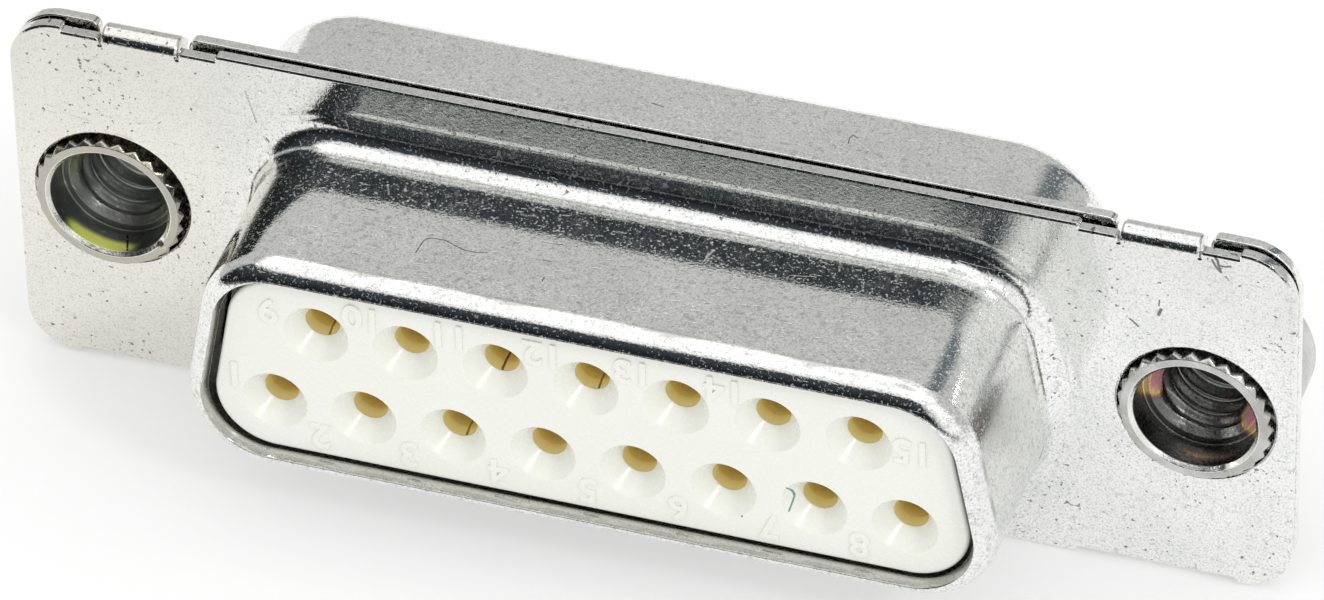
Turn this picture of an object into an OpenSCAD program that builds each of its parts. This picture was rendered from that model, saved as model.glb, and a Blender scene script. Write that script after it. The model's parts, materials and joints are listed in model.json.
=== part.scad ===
// Fifteen-way D-subminiature socket connector for a panel.
// Two drawn steel shells are crimped round two insulators, which trap fifteen socket contacts.
// Two knurled inserts with a screw thread are pressed into the flanges.
// Millimetres. X runs along the flange, the mating face looks towards -Y and +Z is up.
// The origin is the centre of the flange's front face.

/* [Flanges] */
// Length of both flanges
flange_w = 39.14; // [38.9:0.01:42]
// Height of both flanges
flange_h = 12.55; // [12.4:0.01:15]
// Radius of the flange corners
flange_r = 1.55; // [0.5:0.05:1.9]
// Sheet thickness of the front shell
front_t = 0.42; // [0.3:0.01:0.46]
// Sheet thickness of the rear shell
rear_t = 0.45; // [0.3:0.01:0.5]
// Air between the two flanges
flange_gap = 0.03; // [0.01:0.01:0.08]

/* [Front shell] */
// Width of the shroud across its wide side
shroud_w = 24.66; // [24.4:0.01:24.9]
// Height of the shroud
shroud_h = 7.90; // [7.7:0.01:8.1]
// Corner radius of the shroud
shroud_r = 2.59; // [2.2:0.01:3]
// Slope of the two short sides, in degrees
side_slope = 10; // [6:0.5:12]
// How far the shroud reaches out of the flange
shroud_reach = 5.98; // [5.5:0.01:6.5]
// Outer radius of the turned-in lip
lip_r = 0.80; // [0.6:0.01:0.9]
// Angle through which the lip is turned in, in degrees
lip_turn = 72; // [50:1:85]
// Radius in the corner between flange and shroud
root_r = 0.75; // [0.4:0.01:0.85]

/* [Rear shell] */
// Width of the back across its wide side
back_w = 27.51; // [27.3:0.01:27.6]
// Height of the back
back_h = 10.72; // [10.5:0.01:10.9]
// Corner radius of the back
back_r = 3.20; // [2.8:0.01:3.6]
// How far the back reaches behind the flange's front face
back_reach = 4.73; // [4.4:0.01:5.2]
// Radius in the corner between flange and back
back_root_r = 0.40; // [0.2:0.01:0.5]
// Outer radius where the back turns into its rim
rim_r = 1.00; // [0.7:0.01:1.2]
// Width of the rim round the rear opening
rim_w = 1.60; // [1.4:0.01:1.9]

/* [Crimp tabs] */
// Distance between the two tabs of an edge
tab_spacing = 31.00; // [30.6:0.01:31.2]
// Width of a tab
tab_w = 2.35; // [1.8:0.05:2.6]
// Height of a tab's bend above the flange's edge
tab_rise = 0.05; // [0:0.01:0.2]
// Inner radius of a tab's bend
tab_in_r = 0.03; // [0.01:0.01:0.12]
// Angle through which a tab is bent over, in degrees
tab_turn = 135; // [115:1:150]
// Length of a tab's straight end
tab_leg = 0.75; // [0.65:0.01:0.9]
// Width of the relief cut beside a tab
relief_w = 1.22; // [0.5:0.01:1.4]
// Depth of the relief cut beside a tab
relief_d = 0.18; // [0.1:0.01:0.3]
// Room beside a tab in the rear flange's notch
notch_room = 0.22; // [0.1:0.01:0.5]
// Radius of the rear flange's corners at a notch
notch_r = 0.30; // [0.1:0.01:0.4]

/* [Insulators] */
// Height of the front insulator's face above the flange
face_reach = 5.60; // [5.4:0.01:5.9]
// Room between the insulator's nose and the lip
nose_gap = 0.10; // [0.05:0.01:0.15]
// Extra room between the nose and the lip at the two short sides
nose_side_gap = 0.12; // [0:0.01:0.2]
// Length of the nose behind the start of the lip's bend
nose_step = 0.30; // [0.1:0.01:0.6]
// Thickness of the front insulator's base
base_l = 1.75; // [1.2:0.05:2]
// How far the rear insulator's boss stands out of the rear shell
boss_out = 0.27; // [0.1:0.01:0.6]
// Room between an insulator and a shell
shell_gap = 0.05; // [0.02:0.01:0.08]

/* [Contacts] */
// Distance between the contacts of a row
pitch = 2.743; // [2.7:0.001:2.78]
// Distance between the two rows
row_spacing = 2.84; // [2.7:0.01:2.9]
// Radius of a funnel's mouth
funnel_r = 1.00; // [0.8:0.01:1.1]
// Depth of a funnel
funnel_d = 0.65; // [0.4:0.01:0.9]
// Radius of the entry hole behind a funnel
entry_r = 0.53; // [0.45:0.01:0.6]
// Length of the entry hole
entry_l = 0.16; // [0.1:0.01:0.4]
// Radius of a socket's barrel
barrel_r = 0.75; // [0.7:0.01:0.8]
// Radius of a socket's bore
socket_r = 0.51; // [0.48:0.01:0.56]
// Depth of a socket's bore
socket_d = 5.20; // [4.5:0.05:6]
// Width of the seam along a socket
seam_w = 0.08; // [0.04:0.01:0.12]
// Length of the seam along a socket
seam_l = 4.40; // [3:0.05:4.5]
// Radius of a contact's shoulder
shoulder_r = 1.10; // [1:0.01:1.2]
// Thickness of a contact's shoulder
shoulder_l = 0.60; // [0.4:0.01:0.8]
// Radius of a solder cup
cup_r = 0.85; // [0.8:0.01:0.9]
// Radius of a solder cup's bore
cup_bore_r = 0.60; // [0.5:0.01:0.65]
// Depth of a solder cup's bore
cup_d = 2.30; // [1.8:0.05:2.5]
// Length of the side that is cut off a solder cup
scoop_l = 1.60; // [1:0.05:1.7]
// How far the solder cups reach behind the flange's front face
cup_reach = 7.60; // [7.3:0.05:8]
// Room between a contact and an insulator
contact_gap = 0.05; // [0.02:0.01:0.08]

/* [Threaded inserts] */
// Distance between the two inserts
insert_spacing = 33.32; // [33.2:0.01:33.5]
// How far an insert's collar stands out of the flange
collar_out = 0.27; // [0.15:0.01:0.4]
// Radius of the collar in front of the knurl
collar_r = 2.30; // [2.2:0.01:2.34]
// Radius at the tips of the knurl
knurl_r = 2.44; // [2.36:0.01:2.46]
// Depth of the knurl's teeth
knurl_d = 0.20; // [0.1:0.01:0.24]
// Depth of the knurl's front end under the flange's front face
knurl_sink = 0.12; // [0:0.01:0.2]
// Number of the knurl's teeth
knurl_teeth = 40; // [30:1:48]
// Room between the knurl's tips and the flange's hole
knurl_gap = 0.03; // [0.01:0.01:0.05]
// Radius of an insert's body behind the flange
insert_r = 2.65; // [2.55:0.01:2.7]
// How far an insert reaches behind the flange's front face
insert_reach = 3.50; // [3:0.05:4.2]
// Radius of the countersunk mouth at the collar's face
mouth_r = 1.96; // [1.9:0.01:2.1]
// Radius of the smooth part of the bore
counterbore_r = 1.84; // [1.7:0.01:1.88]
// Depth of the smooth part of the bore behind the flange's front face
counterbore_d = 0.82; // [0.5:0.01:1]
// Radius of the countersink in front of the thread
seat_r = 1.62; // [1.4:0.01:1.68]
// Radius of the hole inside the screw thread
thread_r = 1.20; // [1.1:0.01:1.3]

/* [Hidden] */
$fn = 64;
row_counts = [8, 7];
contact_count = row_counts[0] + row_counts[1];
// Contacts whose seam lies at the bottom, and where a seam lies in degrees
seams_below = [3, 9, 11, 12];
top_angle = 60;
bottom_angle = -75;
step_angle = 10;
steel = [0.80, 0.81, 0.80];
ivory = [0.93, 0.93, 0.90];
gold = [0.83, 0.66, 0.33];
zinc = [0.66, 0.63, 0.55];

// Heights along the stack, measured out of the flange's front face
lip_start = shroud_reach - lip_r * sin(lip_turn);
rear_front = -front_t - flange_gap;
rear_back = rear_front - rear_t;
rim_start = -back_reach + rim_r;
rim_front = -back_reach + rear_t;
nose_start = lip_start - nose_step;
base_back = -front_t - base_l;
boss_end = -back_reach - boss_out;
funnel_end = face_reach - funnel_d;
entry_end = funnel_end - entry_l;
contact_front = entry_end - contact_gap;
shoulder_back = base_back - shoulder_l;
thread_front = -counterbore_d - seat_r + thread_r;

// Distances across the stack
lip_inset = lip_r - (lip_r - front_t) * cos(lip_turn);
nose_r = shroud_r - lip_inset - nose_gap;
plug_r = shroud_r - front_t - shell_gap;
block_r = back_r - rear_t - shell_gap;
step_r = back_r - rim_r - shell_gap;
boss_r = back_r - rim_w - shell_gap;
hole_r = knurl_r + knurl_gap;
tab_r = front_t + tab_in_r;
bend_y = flange_h / 2 + tab_rise - tab_r;
leg_run = (-rear_back - tab_r + tab_in_r * cos(tab_turn)) / tan(tab_turn);
notch_floor = bend_y + tab_in_r * sin(tab_turn) + leg_run - flange_gap;
notch_w = tab_w + 2 * notch_room;

// A cut runs past the face that it opens by this much
past = 0.1;

function contact_name(i) = str("contact_", i < 10 ? "0" : "", i);

// A contact's place: 1 to 8 along the lower row, then 9 to 15 along the upper row
function row_of(i) = i <= row_counts[0] ? 0 : 1;
function step_of(i) = i - 1 - row_of(i) * row_counts[0] - (row_counts[row_of(i)] - 1) / 2;
function place_of(i) = [step_of(i) * pitch, (row_of(i) - 0.5) * row_spacing];
function seam_below(i) = len([for (s = seams_below) if (s == i) s]) > 0;
function seam_angle(i) = seam_below(i)
  ? bottom_angle - step_angle * (i % 3)
  : top_angle + step_angle * (i % 6);

// Outlines with four round corners, given by the corners' centres and the sides' normals
function lean(h, r, slope) = (h - 2 * r) * tan(slope);
function centres(w, h, r, slope) = [
  [w / 2 - r, r - h / 2],
  [w / 2 - r - lean(h, r, slope), h / 2 - r],
  [r - w / 2 + lean(h, r, slope), h / 2 - r],
  [r - w / 2, r - h / 2]
];
function normals(slope) = [-90, slope, 90, 180 - slope, 270];
function towards(angle, r) = r * [cos(angle), sin(angle)];

shroud = centres(shroud_w, shroud_h, shroud_r, side_slope);
nose = centres(shroud_w - 2 * nose_side_gap, shroud_h, shroud_r, side_slope);
back = centres(back_w, back_h, back_r, side_slope);
plate = centres(flange_w, flange_h, flange_r, 0);
d_normals = normals(side_slope);
plate_normals = normals(0);

// The stack is drawn standing on its back and then laid down to face -Y
module face_forward() {
  rotate([90, 0, 0]) children();
}

// The area inside an outline whose corners have the radius r
module outline(c, n, r) {
  polygon([for (i = [0:3]) for (a = [n[i], n[i + 1]]) c[i] + towards(a, r)]);
  for (p = c) translate(p) circle(r);
}

module slab(c, n, r, z0, z1) {
  translate([0, 0, z0]) linear_extrude(z1 - z0) outline(c, n, r);
}

// A section drawn outwards from the corners' centres, carried once round the outline
module carry_round(c, n) {
  for (i = [0:3]) {
    next = c[(i + 1) % 4];
    translate(c[i]) rotate(n[i]) rotate_extrude(angle = n[i + 1] - n[i]) children();
    translate(next) rotate(n[i + 1]) rotate([90, 0, 0]) linear_extrude(norm(next - c[i])) children();
  }
}

// A bent strip of sheet in section, from the angle a0 to the angle a1
module bend(r_in, r_out, a0, a1) {
  middle = (a0 + a1) / 2;
  reach = 2 * r_out;
  intersection() {
    difference() {
      circle(r_out);
      circle(r_in);
    }
    polygon([[0, 0], towards(a0, reach), towards(middle, 2 * reach), towards(a1, reach)]);
  }
}

// Every place where a crimp tab is: two on the top edge and two on the bottom edge
module at_tabs() {
  for (side = [0, 1]) mirror([0, side, 0])
    for (x = [-1, 1]) translate([x * tab_spacing / 2, 0]) children();
}

module at_inserts() {
  for (x = [-1, 1]) translate([x * insert_spacing / 2, 0]) children();
}

module at_contacts() {
  for (i = [1:contact_count]) translate(place_of(i)) children();
}

module front_flange() {
  linear_extrude(front_t) difference() {
    outline(plate, plate_normals, flange_r);
    outline(shroud, d_normals, shroud_r + root_r);
    at_inserts() circle(hole_r);
    at_tabs() {
      translate([-tab_w / 2, bend_y]) square([tab_w, flange_h / 2 - bend_y + past]);
      translate([-tab_w / 2 - relief_w, flange_h / 2 - relief_d])
        square([tab_w + 2 * relief_w, relief_d + past]);
    }
  }
}

module shroud_section() {
  translate([shroud_r + root_r, root_r]) bend(root_r, root_r + front_t, 180, 270);
  translate([shroud_r - front_t, root_r]) square([front_t, lip_start - root_r]);
  translate([shroud_r - lip_r, lip_start]) bend(lip_r - front_t, lip_r, 0, lip_turn);
}

// A tab: the bend over the flange's edge and the straight end that grips the rear flange
module tab() {
  rotate([0, -90, 0]) linear_extrude(tab_w, center = true) translate([-tab_r, bend_y]) {
    bend(tab_in_r, tab_r, 0, tab_turn);
    rotate(tab_turn) translate([tab_in_r, 0]) square([front_t, tab_leg]);
  }
}

module front_shell() {
  color(steel) face_forward() {
    translate([0, 0, -front_t]) front_flange();
    carry_round(shroud, d_normals) shroud_section();
    at_tabs() tab();
  }
}

module back_section() {
  translate([back_r + back_root_r, rear_back - back_root_r])
    bend(back_root_r, back_root_r + rear_t, 90, 180);
  translate([back_r - rear_t, rim_start]) square([rear_t, rear_back - back_root_r - rim_start]);
  translate([back_r - rim_r, rim_start]) bend(rim_r - rear_t, rim_r, -90, 0);
  translate([back_r - rim_w, -back_reach]) square([rim_w - rim_r, rear_t]);
}

// What is cut out of the rear flange's edge for a tab, with the sheet's corners rounded beside it
module notch() {
  top = flange_h / 2;
  translate([-notch_w / 2, notch_floor]) square([notch_w, top - notch_floor + past]);
  for (x = [-1, 1]) translate([x * (notch_w / 2 + notch_r), top - notch_r]) difference() {
    translate([x > 0 ? -notch_r : 0, 0]) square([notch_r, notch_r + past]);
    circle(notch_r);
  }
}

module rear_flange() {
  linear_extrude(rear_t) difference() {
    outline(plate, plate_normals, flange_r);
    outline(back, d_normals, back_r + back_root_r);
    at_inserts() circle(hole_r);
    at_tabs() notch();
  }
}

module rear_shell() {
  color(steel) face_forward() {
    translate([0, 0, rear_back]) rear_flange();
    carry_round(back, d_normals) back_section();
  }
}

module front_insulator() {
  color(ivory) face_forward() difference() {
    union() {
      slab(nose, d_normals, nose_r, nose_start, face_reach);
      slab(shroud, d_normals, plug_r, -front_t, nose_start);
      slab(back, d_normals, block_r, base_back, -front_t);
    }
    at_contacts() {
      translate([0, 0, funnel_end]) cylinder(funnel_d, entry_r, funnel_r);
      translate([0, 0, entry_end - past]) cylinder(h = entry_l + 2 * past, r = entry_r);
      translate([0, 0, base_back - past])
        cylinder(h = entry_end - base_back + past, r = barrel_r + contact_gap);
    }
  }
}

module rear_insulator() {
  color(ivory) face_forward() difference() {
    union() {
      slab(back, d_normals, block_r, rim_start, base_back);
      slab(back, d_normals, step_r, rim_front, rim_start);
      slab(back, d_normals, boss_r, boss_end, rim_front);
    }
    at_contacts() {
      translate([0, 0, boss_end - past])
        cylinder(h = base_back - boss_end + 2 * past, r = cup_r + contact_gap);
      translate([0, 0, shoulder_back])
        cylinder(h = shoulder_l + past, r = shoulder_r + contact_gap);
    }
  }
}

// One contact, from the solder cup at the back to the socket at the front
module contact(i) {
  outwards = row_of(i) == 0 ? 180 : 0;
  color(gold) face_forward() translate(place_of(i)) difference() {
    union() {
      translate([0, 0, -cup_reach]) cylinder(h = cup_reach + shoulder_back, r = cup_r);
      translate([0, 0, shoulder_back]) cylinder(h = shoulder_l, r = shoulder_r);
      translate([0, 0, base_back]) cylinder(h = contact_front - base_back, r = barrel_r);
    }
    translate([0, 0, contact_front - socket_d]) cylinder(h = socket_d + past, r = socket_r);
    rotate(seam_angle(i)) translate([0, -seam_w / 2, contact_front - seam_l])
      cube([barrel_r + past, seam_w, seam_l + past]);
    translate([0, 0, -cup_reach - past]) cylinder(h = cup_d + past, r = cup_bore_r);
    rotate(outwards) translate([-cup_r - past, 0, -cup_reach - past])
      cube([2 * (cup_r + past), cup_r + past, scoop_l + past]);
  }
}

module knurl() {
  step = 360 / knurl_teeth;
  polygon([
    for (k = [0:knurl_teeth - 1])
      for (part = [0, 0.5])
        towards((k + part) * step, knurl_r - 2 * part * knurl_d)
  ]);
}

module insert() {
  difference() {
    union() {
      translate([0, 0, -knurl_sink]) cylinder(h = collar_out + knurl_sink, r = collar_r);
      translate([0, 0, rear_back]) linear_extrude(-knurl_sink - rear_back) knurl();
      translate([0, 0, -insert_reach]) cylinder(h = insert_reach + rear_back, r = insert_r);
    }
    translate([0, 0, collar_out - mouth_r + counterbore_r])
      cylinder(mouth_r - counterbore_r, counterbore_r, mouth_r);
    translate([0, 0, -counterbore_d]) cylinder(h = counterbore_d + collar_out, r = counterbore_r);
    translate([0, 0, thread_front]) cylinder(-counterbore_d - thread_front, thread_r, seat_r);
    translate([0, 0, -insert_reach - past])
      cylinder(h = thread_front + insert_reach + 2 * past, r = thread_r);
  }
}

module left_insert() {
  color(zinc) face_forward() translate([-insert_spacing / 2, 0]) insert();
}

module right_insert() {
  color(zinc) face_forward() translate([insert_spacing / 2, 0]) insert();
}

front_shell();
rear_shell();
front_insulator();
rear_insulator();
left_insert();
right_insert();
for (i = [1:contact_count]) contact(i);
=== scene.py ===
# %% [markdown]
# # A fifteen-way D-sub socket, dressed for its portrait
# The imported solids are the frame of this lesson: they fix every place and every main size. Their facets are
# too coarse for polished sheet metal, so each solid is made again here as a smooth surface with the small
# roundings that catch the light, and then gets the finish of the real piece.

# %% Load the frame
import json
import math

import bmesh
import bpy
import numpy as np
from mathutils import Matrix, Vector, geometry

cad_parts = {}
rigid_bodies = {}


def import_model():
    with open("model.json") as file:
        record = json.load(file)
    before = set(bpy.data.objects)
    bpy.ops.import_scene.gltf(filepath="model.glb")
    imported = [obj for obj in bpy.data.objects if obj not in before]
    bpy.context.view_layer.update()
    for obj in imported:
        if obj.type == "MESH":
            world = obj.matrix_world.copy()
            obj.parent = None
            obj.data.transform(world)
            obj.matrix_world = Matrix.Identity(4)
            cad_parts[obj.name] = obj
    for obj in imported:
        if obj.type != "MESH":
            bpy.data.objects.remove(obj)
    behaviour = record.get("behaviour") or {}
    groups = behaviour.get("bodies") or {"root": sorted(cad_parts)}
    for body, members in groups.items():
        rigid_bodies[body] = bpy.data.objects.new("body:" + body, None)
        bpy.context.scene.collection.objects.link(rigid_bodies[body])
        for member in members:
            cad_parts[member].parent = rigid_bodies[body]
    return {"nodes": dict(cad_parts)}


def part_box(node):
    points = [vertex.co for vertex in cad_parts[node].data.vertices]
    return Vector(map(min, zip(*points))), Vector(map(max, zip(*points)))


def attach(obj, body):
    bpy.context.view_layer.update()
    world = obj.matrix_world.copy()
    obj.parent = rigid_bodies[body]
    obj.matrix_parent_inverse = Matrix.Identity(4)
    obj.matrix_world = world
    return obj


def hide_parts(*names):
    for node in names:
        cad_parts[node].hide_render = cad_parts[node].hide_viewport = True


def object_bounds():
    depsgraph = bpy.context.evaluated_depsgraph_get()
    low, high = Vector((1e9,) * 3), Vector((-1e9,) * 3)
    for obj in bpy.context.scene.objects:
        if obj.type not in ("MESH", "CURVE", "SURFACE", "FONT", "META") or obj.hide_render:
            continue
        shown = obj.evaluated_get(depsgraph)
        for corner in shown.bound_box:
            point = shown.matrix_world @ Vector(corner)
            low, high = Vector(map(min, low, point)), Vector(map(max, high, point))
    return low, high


for leftover in list(bpy.data.objects):
    bpy.data.objects.remove(leftover)
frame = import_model()
cad_low, cad_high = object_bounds()
MM = 0.001
print("frame loaded:", len(frame["nodes"]), "nodes")

# %% [markdown]
# ## Sizes
# The outer sizes are read off the frame, so the lesson follows the solids if they change. What a box can't
# tell, such as a bend's radius, is a named value in millimetres. Heights are measured out of the flange's
# front face, towards the mating side.

# %% Sizes from the frame
def span(node):
    """Lowest and highest corner of a CAD node, in millimetres."""
    low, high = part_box(node)
    return np.array(low) / MM, np.array(high) / MM


front_low = span("front_shell")[0]
rear_low, rear_high = span("rear_shell")
face_low, face_high = span("front_insulator")
boss_high = span("rear_insulator")[1]
insert_low, insert_high = span("left_insert")
contact_low, contact_high = span("contact_01")

flange_w, _, flange_h = rear_high - rear_low
shroud_reach = -front_low[1]
back_reach = rear_high[1]
face_reach = -face_low[1]
base_back = -face_high[1]
boss_end = -boss_high[1]
collar_out = -insert_low[1]
insert_reach = insert_high[1]
insert_r = (insert_high[0] - insert_low[0]) / 2
cup_reach = contact_high[1]
shoulder_r = (contact_high[0] - contact_low[0]) / 2
print("flange", flange_w.round(2), "by", flange_h.round(2), "mm, shroud", shroud_reach.round(2), "mm out")

# %% Sizes of the sheet metal
front_t = 0.42
rear_t = 0.36
flange_gap = 0.12
flange_r = 1.55
shroud_w = 24.66
shroud_h = 7.90
shroud_r = 2.59
side_slope = math.radians(10)
lip_r = 0.80
lip_turn = math.radians(72)
root_r = 0.75
mark_w = 0.40
mark_d = 0.010
back_w = 27.51
back_h = 10.72
back_r = 3.20
back_root_r = 0.40
rim_r = 1.00
rim_w = 1.60
hole_r = 2.39
hole_shift = 0.07
rear_front = -front_t - flange_gap
rear_back = rear_front - rear_t
lip_start = shroud_reach - lip_r * math.sin(lip_turn)
print("lip starts", round(lip_start, 3), "mm out, the rear flange ends at", rear_back)

# %% [markdown]
# ## Paths, profiles and patches
# A stamped shell is a section carried round an outline. An outline is kept as points with the normals that
# point away from the metal, because then every offset of it is exact: point plus distance times normal.
# The corners are arcs, and one function makes them for outlines and for sections alike.

# %% Outlines with round corners
def rounded(corners, radii, steps):
    """A closed line whose corners are arcs. An arc's centre lies r (n0 + n1) / (1 + n0.n1) from its corner,
    and its points are the centre plus r times a normal that turns from one side's to the next side's.
    A corner of radius 0 stays sharp. Returns the points and the normals on the right of the line."""
    point = np.asarray(corners, float)
    radius = np.broadcast_to(np.asarray(radii, float), len(point))
    into = point - np.roll(point, 1, 0)
    into = into / np.linalg.norm(into, axis=1, keepdims=True)
    out = np.roll(into, -1, 0)
    first = np.stack([into[:, 1], -into[:, 0]], 1)
    second = np.stack([out[:, 1], -out[:, 0]], 1)
    turn = np.arctan2(into[:, 0] * out[:, 1] - into[:, 1] * out[:, 0], (into * out).sum(1))
    bulge = np.sign(turn) * radius
    centre = point - (bulge / (1 + (first * second).sum(1)))[:, None] * (first + second)
    angle = np.arctan2(first[:, 1], first[:, 0])[:, None] + turn[:, None] * np.linspace(0, 1, steps)
    normal = np.stack([np.cos(angle), np.sin(angle)], -1)
    line = centre[:, None] + bulge[:, None, None] * normal
    return line.reshape(-1, 2), normal.reshape(-1, 2)


def densify(path, gap):
    """Splits the straight stretches of a closed path into steps no longer than gap, one for all or each."""
    points, normals = path
    ahead = np.roll(points, -1, 0) - points
    swing = np.roll(normals, -1, 0) - normals
    count = np.maximum(1, np.ceil(np.linalg.norm(ahead, axis=1) / gap).astype(int))
    start = np.repeat(np.arange(len(points)), count)
    share = (np.arange(count.sum()) - np.repeat(np.cumsum(count) - count, count)) / count[start]
    turned = normals[start] + share[:, None] * swing[start]
    turned = turned / np.linalg.norm(turned, axis=1, keepdims=True)
    return points[start] + share[:, None] * ahead[start], turned


def refine(line, gap):
    """An open line with extra points, so that none of its steps is longer than gap."""
    along = np.concatenate([[0], np.cumsum(np.linalg.norm(np.diff(line, axis=0), axis=1))])
    marks = np.union1d(along, np.arange(0, along[-1], gap))
    return np.stack([np.interp(marks, along, column) for column in line.T], 1)


def offset(path, distance):
    """The path moved along its normals."""
    return path[0] + distance * path[1], path[1]


def d_outline(width, height, radius, steps=24):
    """The D of a connector: a trapezium with its wide side down, its corners rounded. The width is measured
    over the lower corners' arcs, so the leaning side lies at d = c.n + r from the middle."""
    lean, rise = math.cos(side_slope), math.sin(side_slope)
    reach = (width / 2 - radius) * lean + (radius - height / 2) * rise + radius
    low, high = [(reach - z * rise) / lean for z in (-height / 2, height / 2)]
    corners = [(-low, -height / 2), (low, -height / 2), (high, height / 2), (-high, height / 2)]
    return rounded(corners, radius, steps)


def hole(centre, radius, steps):
    """A round hole's path. Its normals point into the hole, away from the material."""
    angle = np.linspace(0, 2 * np.pi, steps, endpoint=False)
    ray = np.stack([np.cos(angle), np.sin(angle)], 1)
    return np.asarray(centre) + radius * ray, -ray


print("a D outline has", len(d_outline(shroud_w, shroud_h, shroud_r)[0]), "points")

# %% Patches and how they are joined
LEAD = 0.02
BREAK_R = 0.02
EDGE_STEPS = 5
CORNER_STEPS = 14
WELD = 1e-7
SHARP = math.radians(38)


def carry(path, profile):
    """A profile carried round a path: row i, column j is point j moved out by offset i, at height i."""
    points, normals = path
    out, height = np.asarray(profile, float).T
    flat = points[None] + out[:, None, None] * normals[None]
    return np.concatenate([flat, np.broadcast_to(height[:, None, None], (*flat.shape[:2], 1))], -1)


def wall(grid, wrap=True):
    """A grid of points, row by row, as vertices and quads. With wrap, each row closes to a ring."""
    rows, columns = grid.shape[:2]
    i, j = np.meshgrid(np.arange(rows - 1), np.arange(columns if wrap else columns - 1), indexing="ij")
    k = (j + 1) % columns
    quads = np.stack([i * columns + j, (i + 1) * columns + j, (i + 1) * columns + k, i * columns + k], -1)
    return grid.reshape(-1, 3), quads.reshape(-1, 4)


def crossings(points, ring):
    """How often a ray to the right of each point crosses a closed ring: odd means that it lies inside."""
    a, b = ring, np.roll(ring, -1, 0)
    x, y = points[:, :1], points[:, 1:2]
    spans = (a[:, 1] > y) != (b[:, 1] > y)
    rise = np.where(spans, b[:, 1] - a[:, 1], 1)
    return (spans & (x < a[:, 0] + (y - a[:, 1]) / rise * (b[:, 0] - a[:, 0]))).sum(1)


def cap(rings, inner=()):
    """Fills the flat area between rings of one height with Delaunay triangles, leaving the holes open.
    inner are points inside the area that the triangles are to use as well."""
    start = np.cumsum([0, *map(len, rings)])
    edges = [
        (s + k, s + (k + 1) % len(ring)) for s, ring in zip(start, rings) for k in range(len(ring))
    ]
    flat = [*np.concatenate(rings)[:, :2], *inner]
    made = geometry.delaunay_2d_cdt([Vector(p) for p in flat], edges, [], 0, WELD)
    points = np.array([tuple(p) for p in made[0]])
    triangles = np.array(made[2])
    middle = points[triangles].mean(1)
    inside = sum(crossings(middle, ring[:, :2]) for ring in rings) % 2 == 1
    height = np.full((len(points), 1), rings[0][0, 2])
    return np.concatenate([points, height], 1), triangles[inside]


def solid(name, patches, shape=None):
    """One closed mesh from patches in millimetres, welded where they meet. shape may bend the points first.
    A point (x, up, out) of a patch is (x, -out, up) in the frame."""
    start = np.cumsum([0] + [len(points) for points, _ in patches])
    points = np.concatenate([points for points, _ in patches])
    if shape:
        points = shape(points)
    faces = [face for (_, some), s in zip(patches, start) for face in (some + s).tolist()]
    mesh = bpy.data.meshes.new(name)
    mesh.from_pydata((points * MM)[:, [0, 2, 1]] * [1, -1, 1], [], faces)
    work = bmesh.new()
    work.from_mesh(mesh)
    bmesh.ops.remove_doubles(work, verts=work.verts, dist=WELD)
    bmesh.ops.recalc_face_normals(work, faces=work.faces)
    work.to_mesh(mesh)
    work.free()
    mesh.shade_smooth()
    mesh.set_sharp_from_angle(angle=SHARP)
    piece = bpy.data.objects.new(name, mesh)
    bpy.context.scene.collection.objects.link(piece)
    return piece


def report(piece):
    """Prints a piece's size and whether its surface is closed."""
    work = bmesh.new()
    work.from_mesh(piece.data)
    loose = sum(not edge.is_manifold for edge in work.edges)
    triangles = sum(len(face.verts) - 2 for face in work.faces)
    print(f"{piece.name}: {triangles} triangles, {loose} open edges, {work.calc_volume() / MM**3:.1f} mm3")
    work.free()


def stand_for(piece, node):
    """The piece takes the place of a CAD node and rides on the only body."""
    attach(piece, "root")
    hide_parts(node)
    report(piece)
    return piece


# %% [markdown]
# ## The front shell
# The real shell is blanked from tinned sheet, drawn to a D and then folded: its four tabs go over the rear
# flange at the end. The mesh is made the same way. The flat blank, tabs and all, is one outline with a cut
# edge; the D is a strip of sheet carried round; and at last the tabs are bent by a formula.

# %% Sections of the drawn sheet
def cut_edge(front, back, front_bevel, back_bevel):
    """The cut edge of a flat sheet, from its front face to its back face. The die rolls the first edge and
    the break bevels the second: each bevel is given as its width on the face and its depth in the cut."""
    (front_w, front_d), (back_w, back_d) = front_bevel, back_bevel
    corners = [
        (-front_w - LEAD, front),
        (-front_w, front),
        (0, front - front_d),
        (0, back + back_d),
        (-back_w, back),
        (-back_w - LEAD, back),
    ]
    return rounded(corners, [0, BREAK_R, BREAK_R, BREAK_R, BREAK_R, 0], EDGE_STEPS)[0]


def strip(corners, radii, thickness, steps=CORNER_STEPS, end_r=0.05):
    """The section of a bent strip of sheet. The corners give one side, the other lies a thickness away along
    the normals, and the free end is a cut with two small arcs."""
    line, normal = [part[steps - 1 : 1 - steps] for part in rounded(corners, radii, steps)]
    ahead = np.array([-normal[-1, 1], normal[-1, 0]])
    across = -np.sign(thickness) * normal[-1]
    near, far = line[-1], line[-1] - thickness * normal[-1]
    swing = np.linspace(0, np.pi / 2, EDGE_STEPS)[:, None]
    first = near + end_r * (across - ahead) + end_r * (ahead * np.sin(swing) - across * np.cos(swing))
    second = far - end_r * (across + ahead) + end_r * (ahead * np.cos(swing) + across * np.sin(swing))
    inside = (line - thickness * normal)[::-1]
    return np.concatenate([line[:-1], first, second, inside[1:]])


def sheet(outer, d_path, section, edge, inner=()):
    """A drawn shell: a flat flange with cut edges round its outline and its two screw holes, and the section
    of the drawn part carried round the D."""
    walls = [carry(path, edge) for path in (outer, *screw_holes)] + [carry(d_path, section)]
    rings = [sorted((grid[0], grid[-1]), key=lambda ring: ring[0, 2]) for grid in walls]
    return [wall(grid) for grid in walls] + [cap([ring[side] for ring in rings], inner) for side in (0, 1)]


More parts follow.
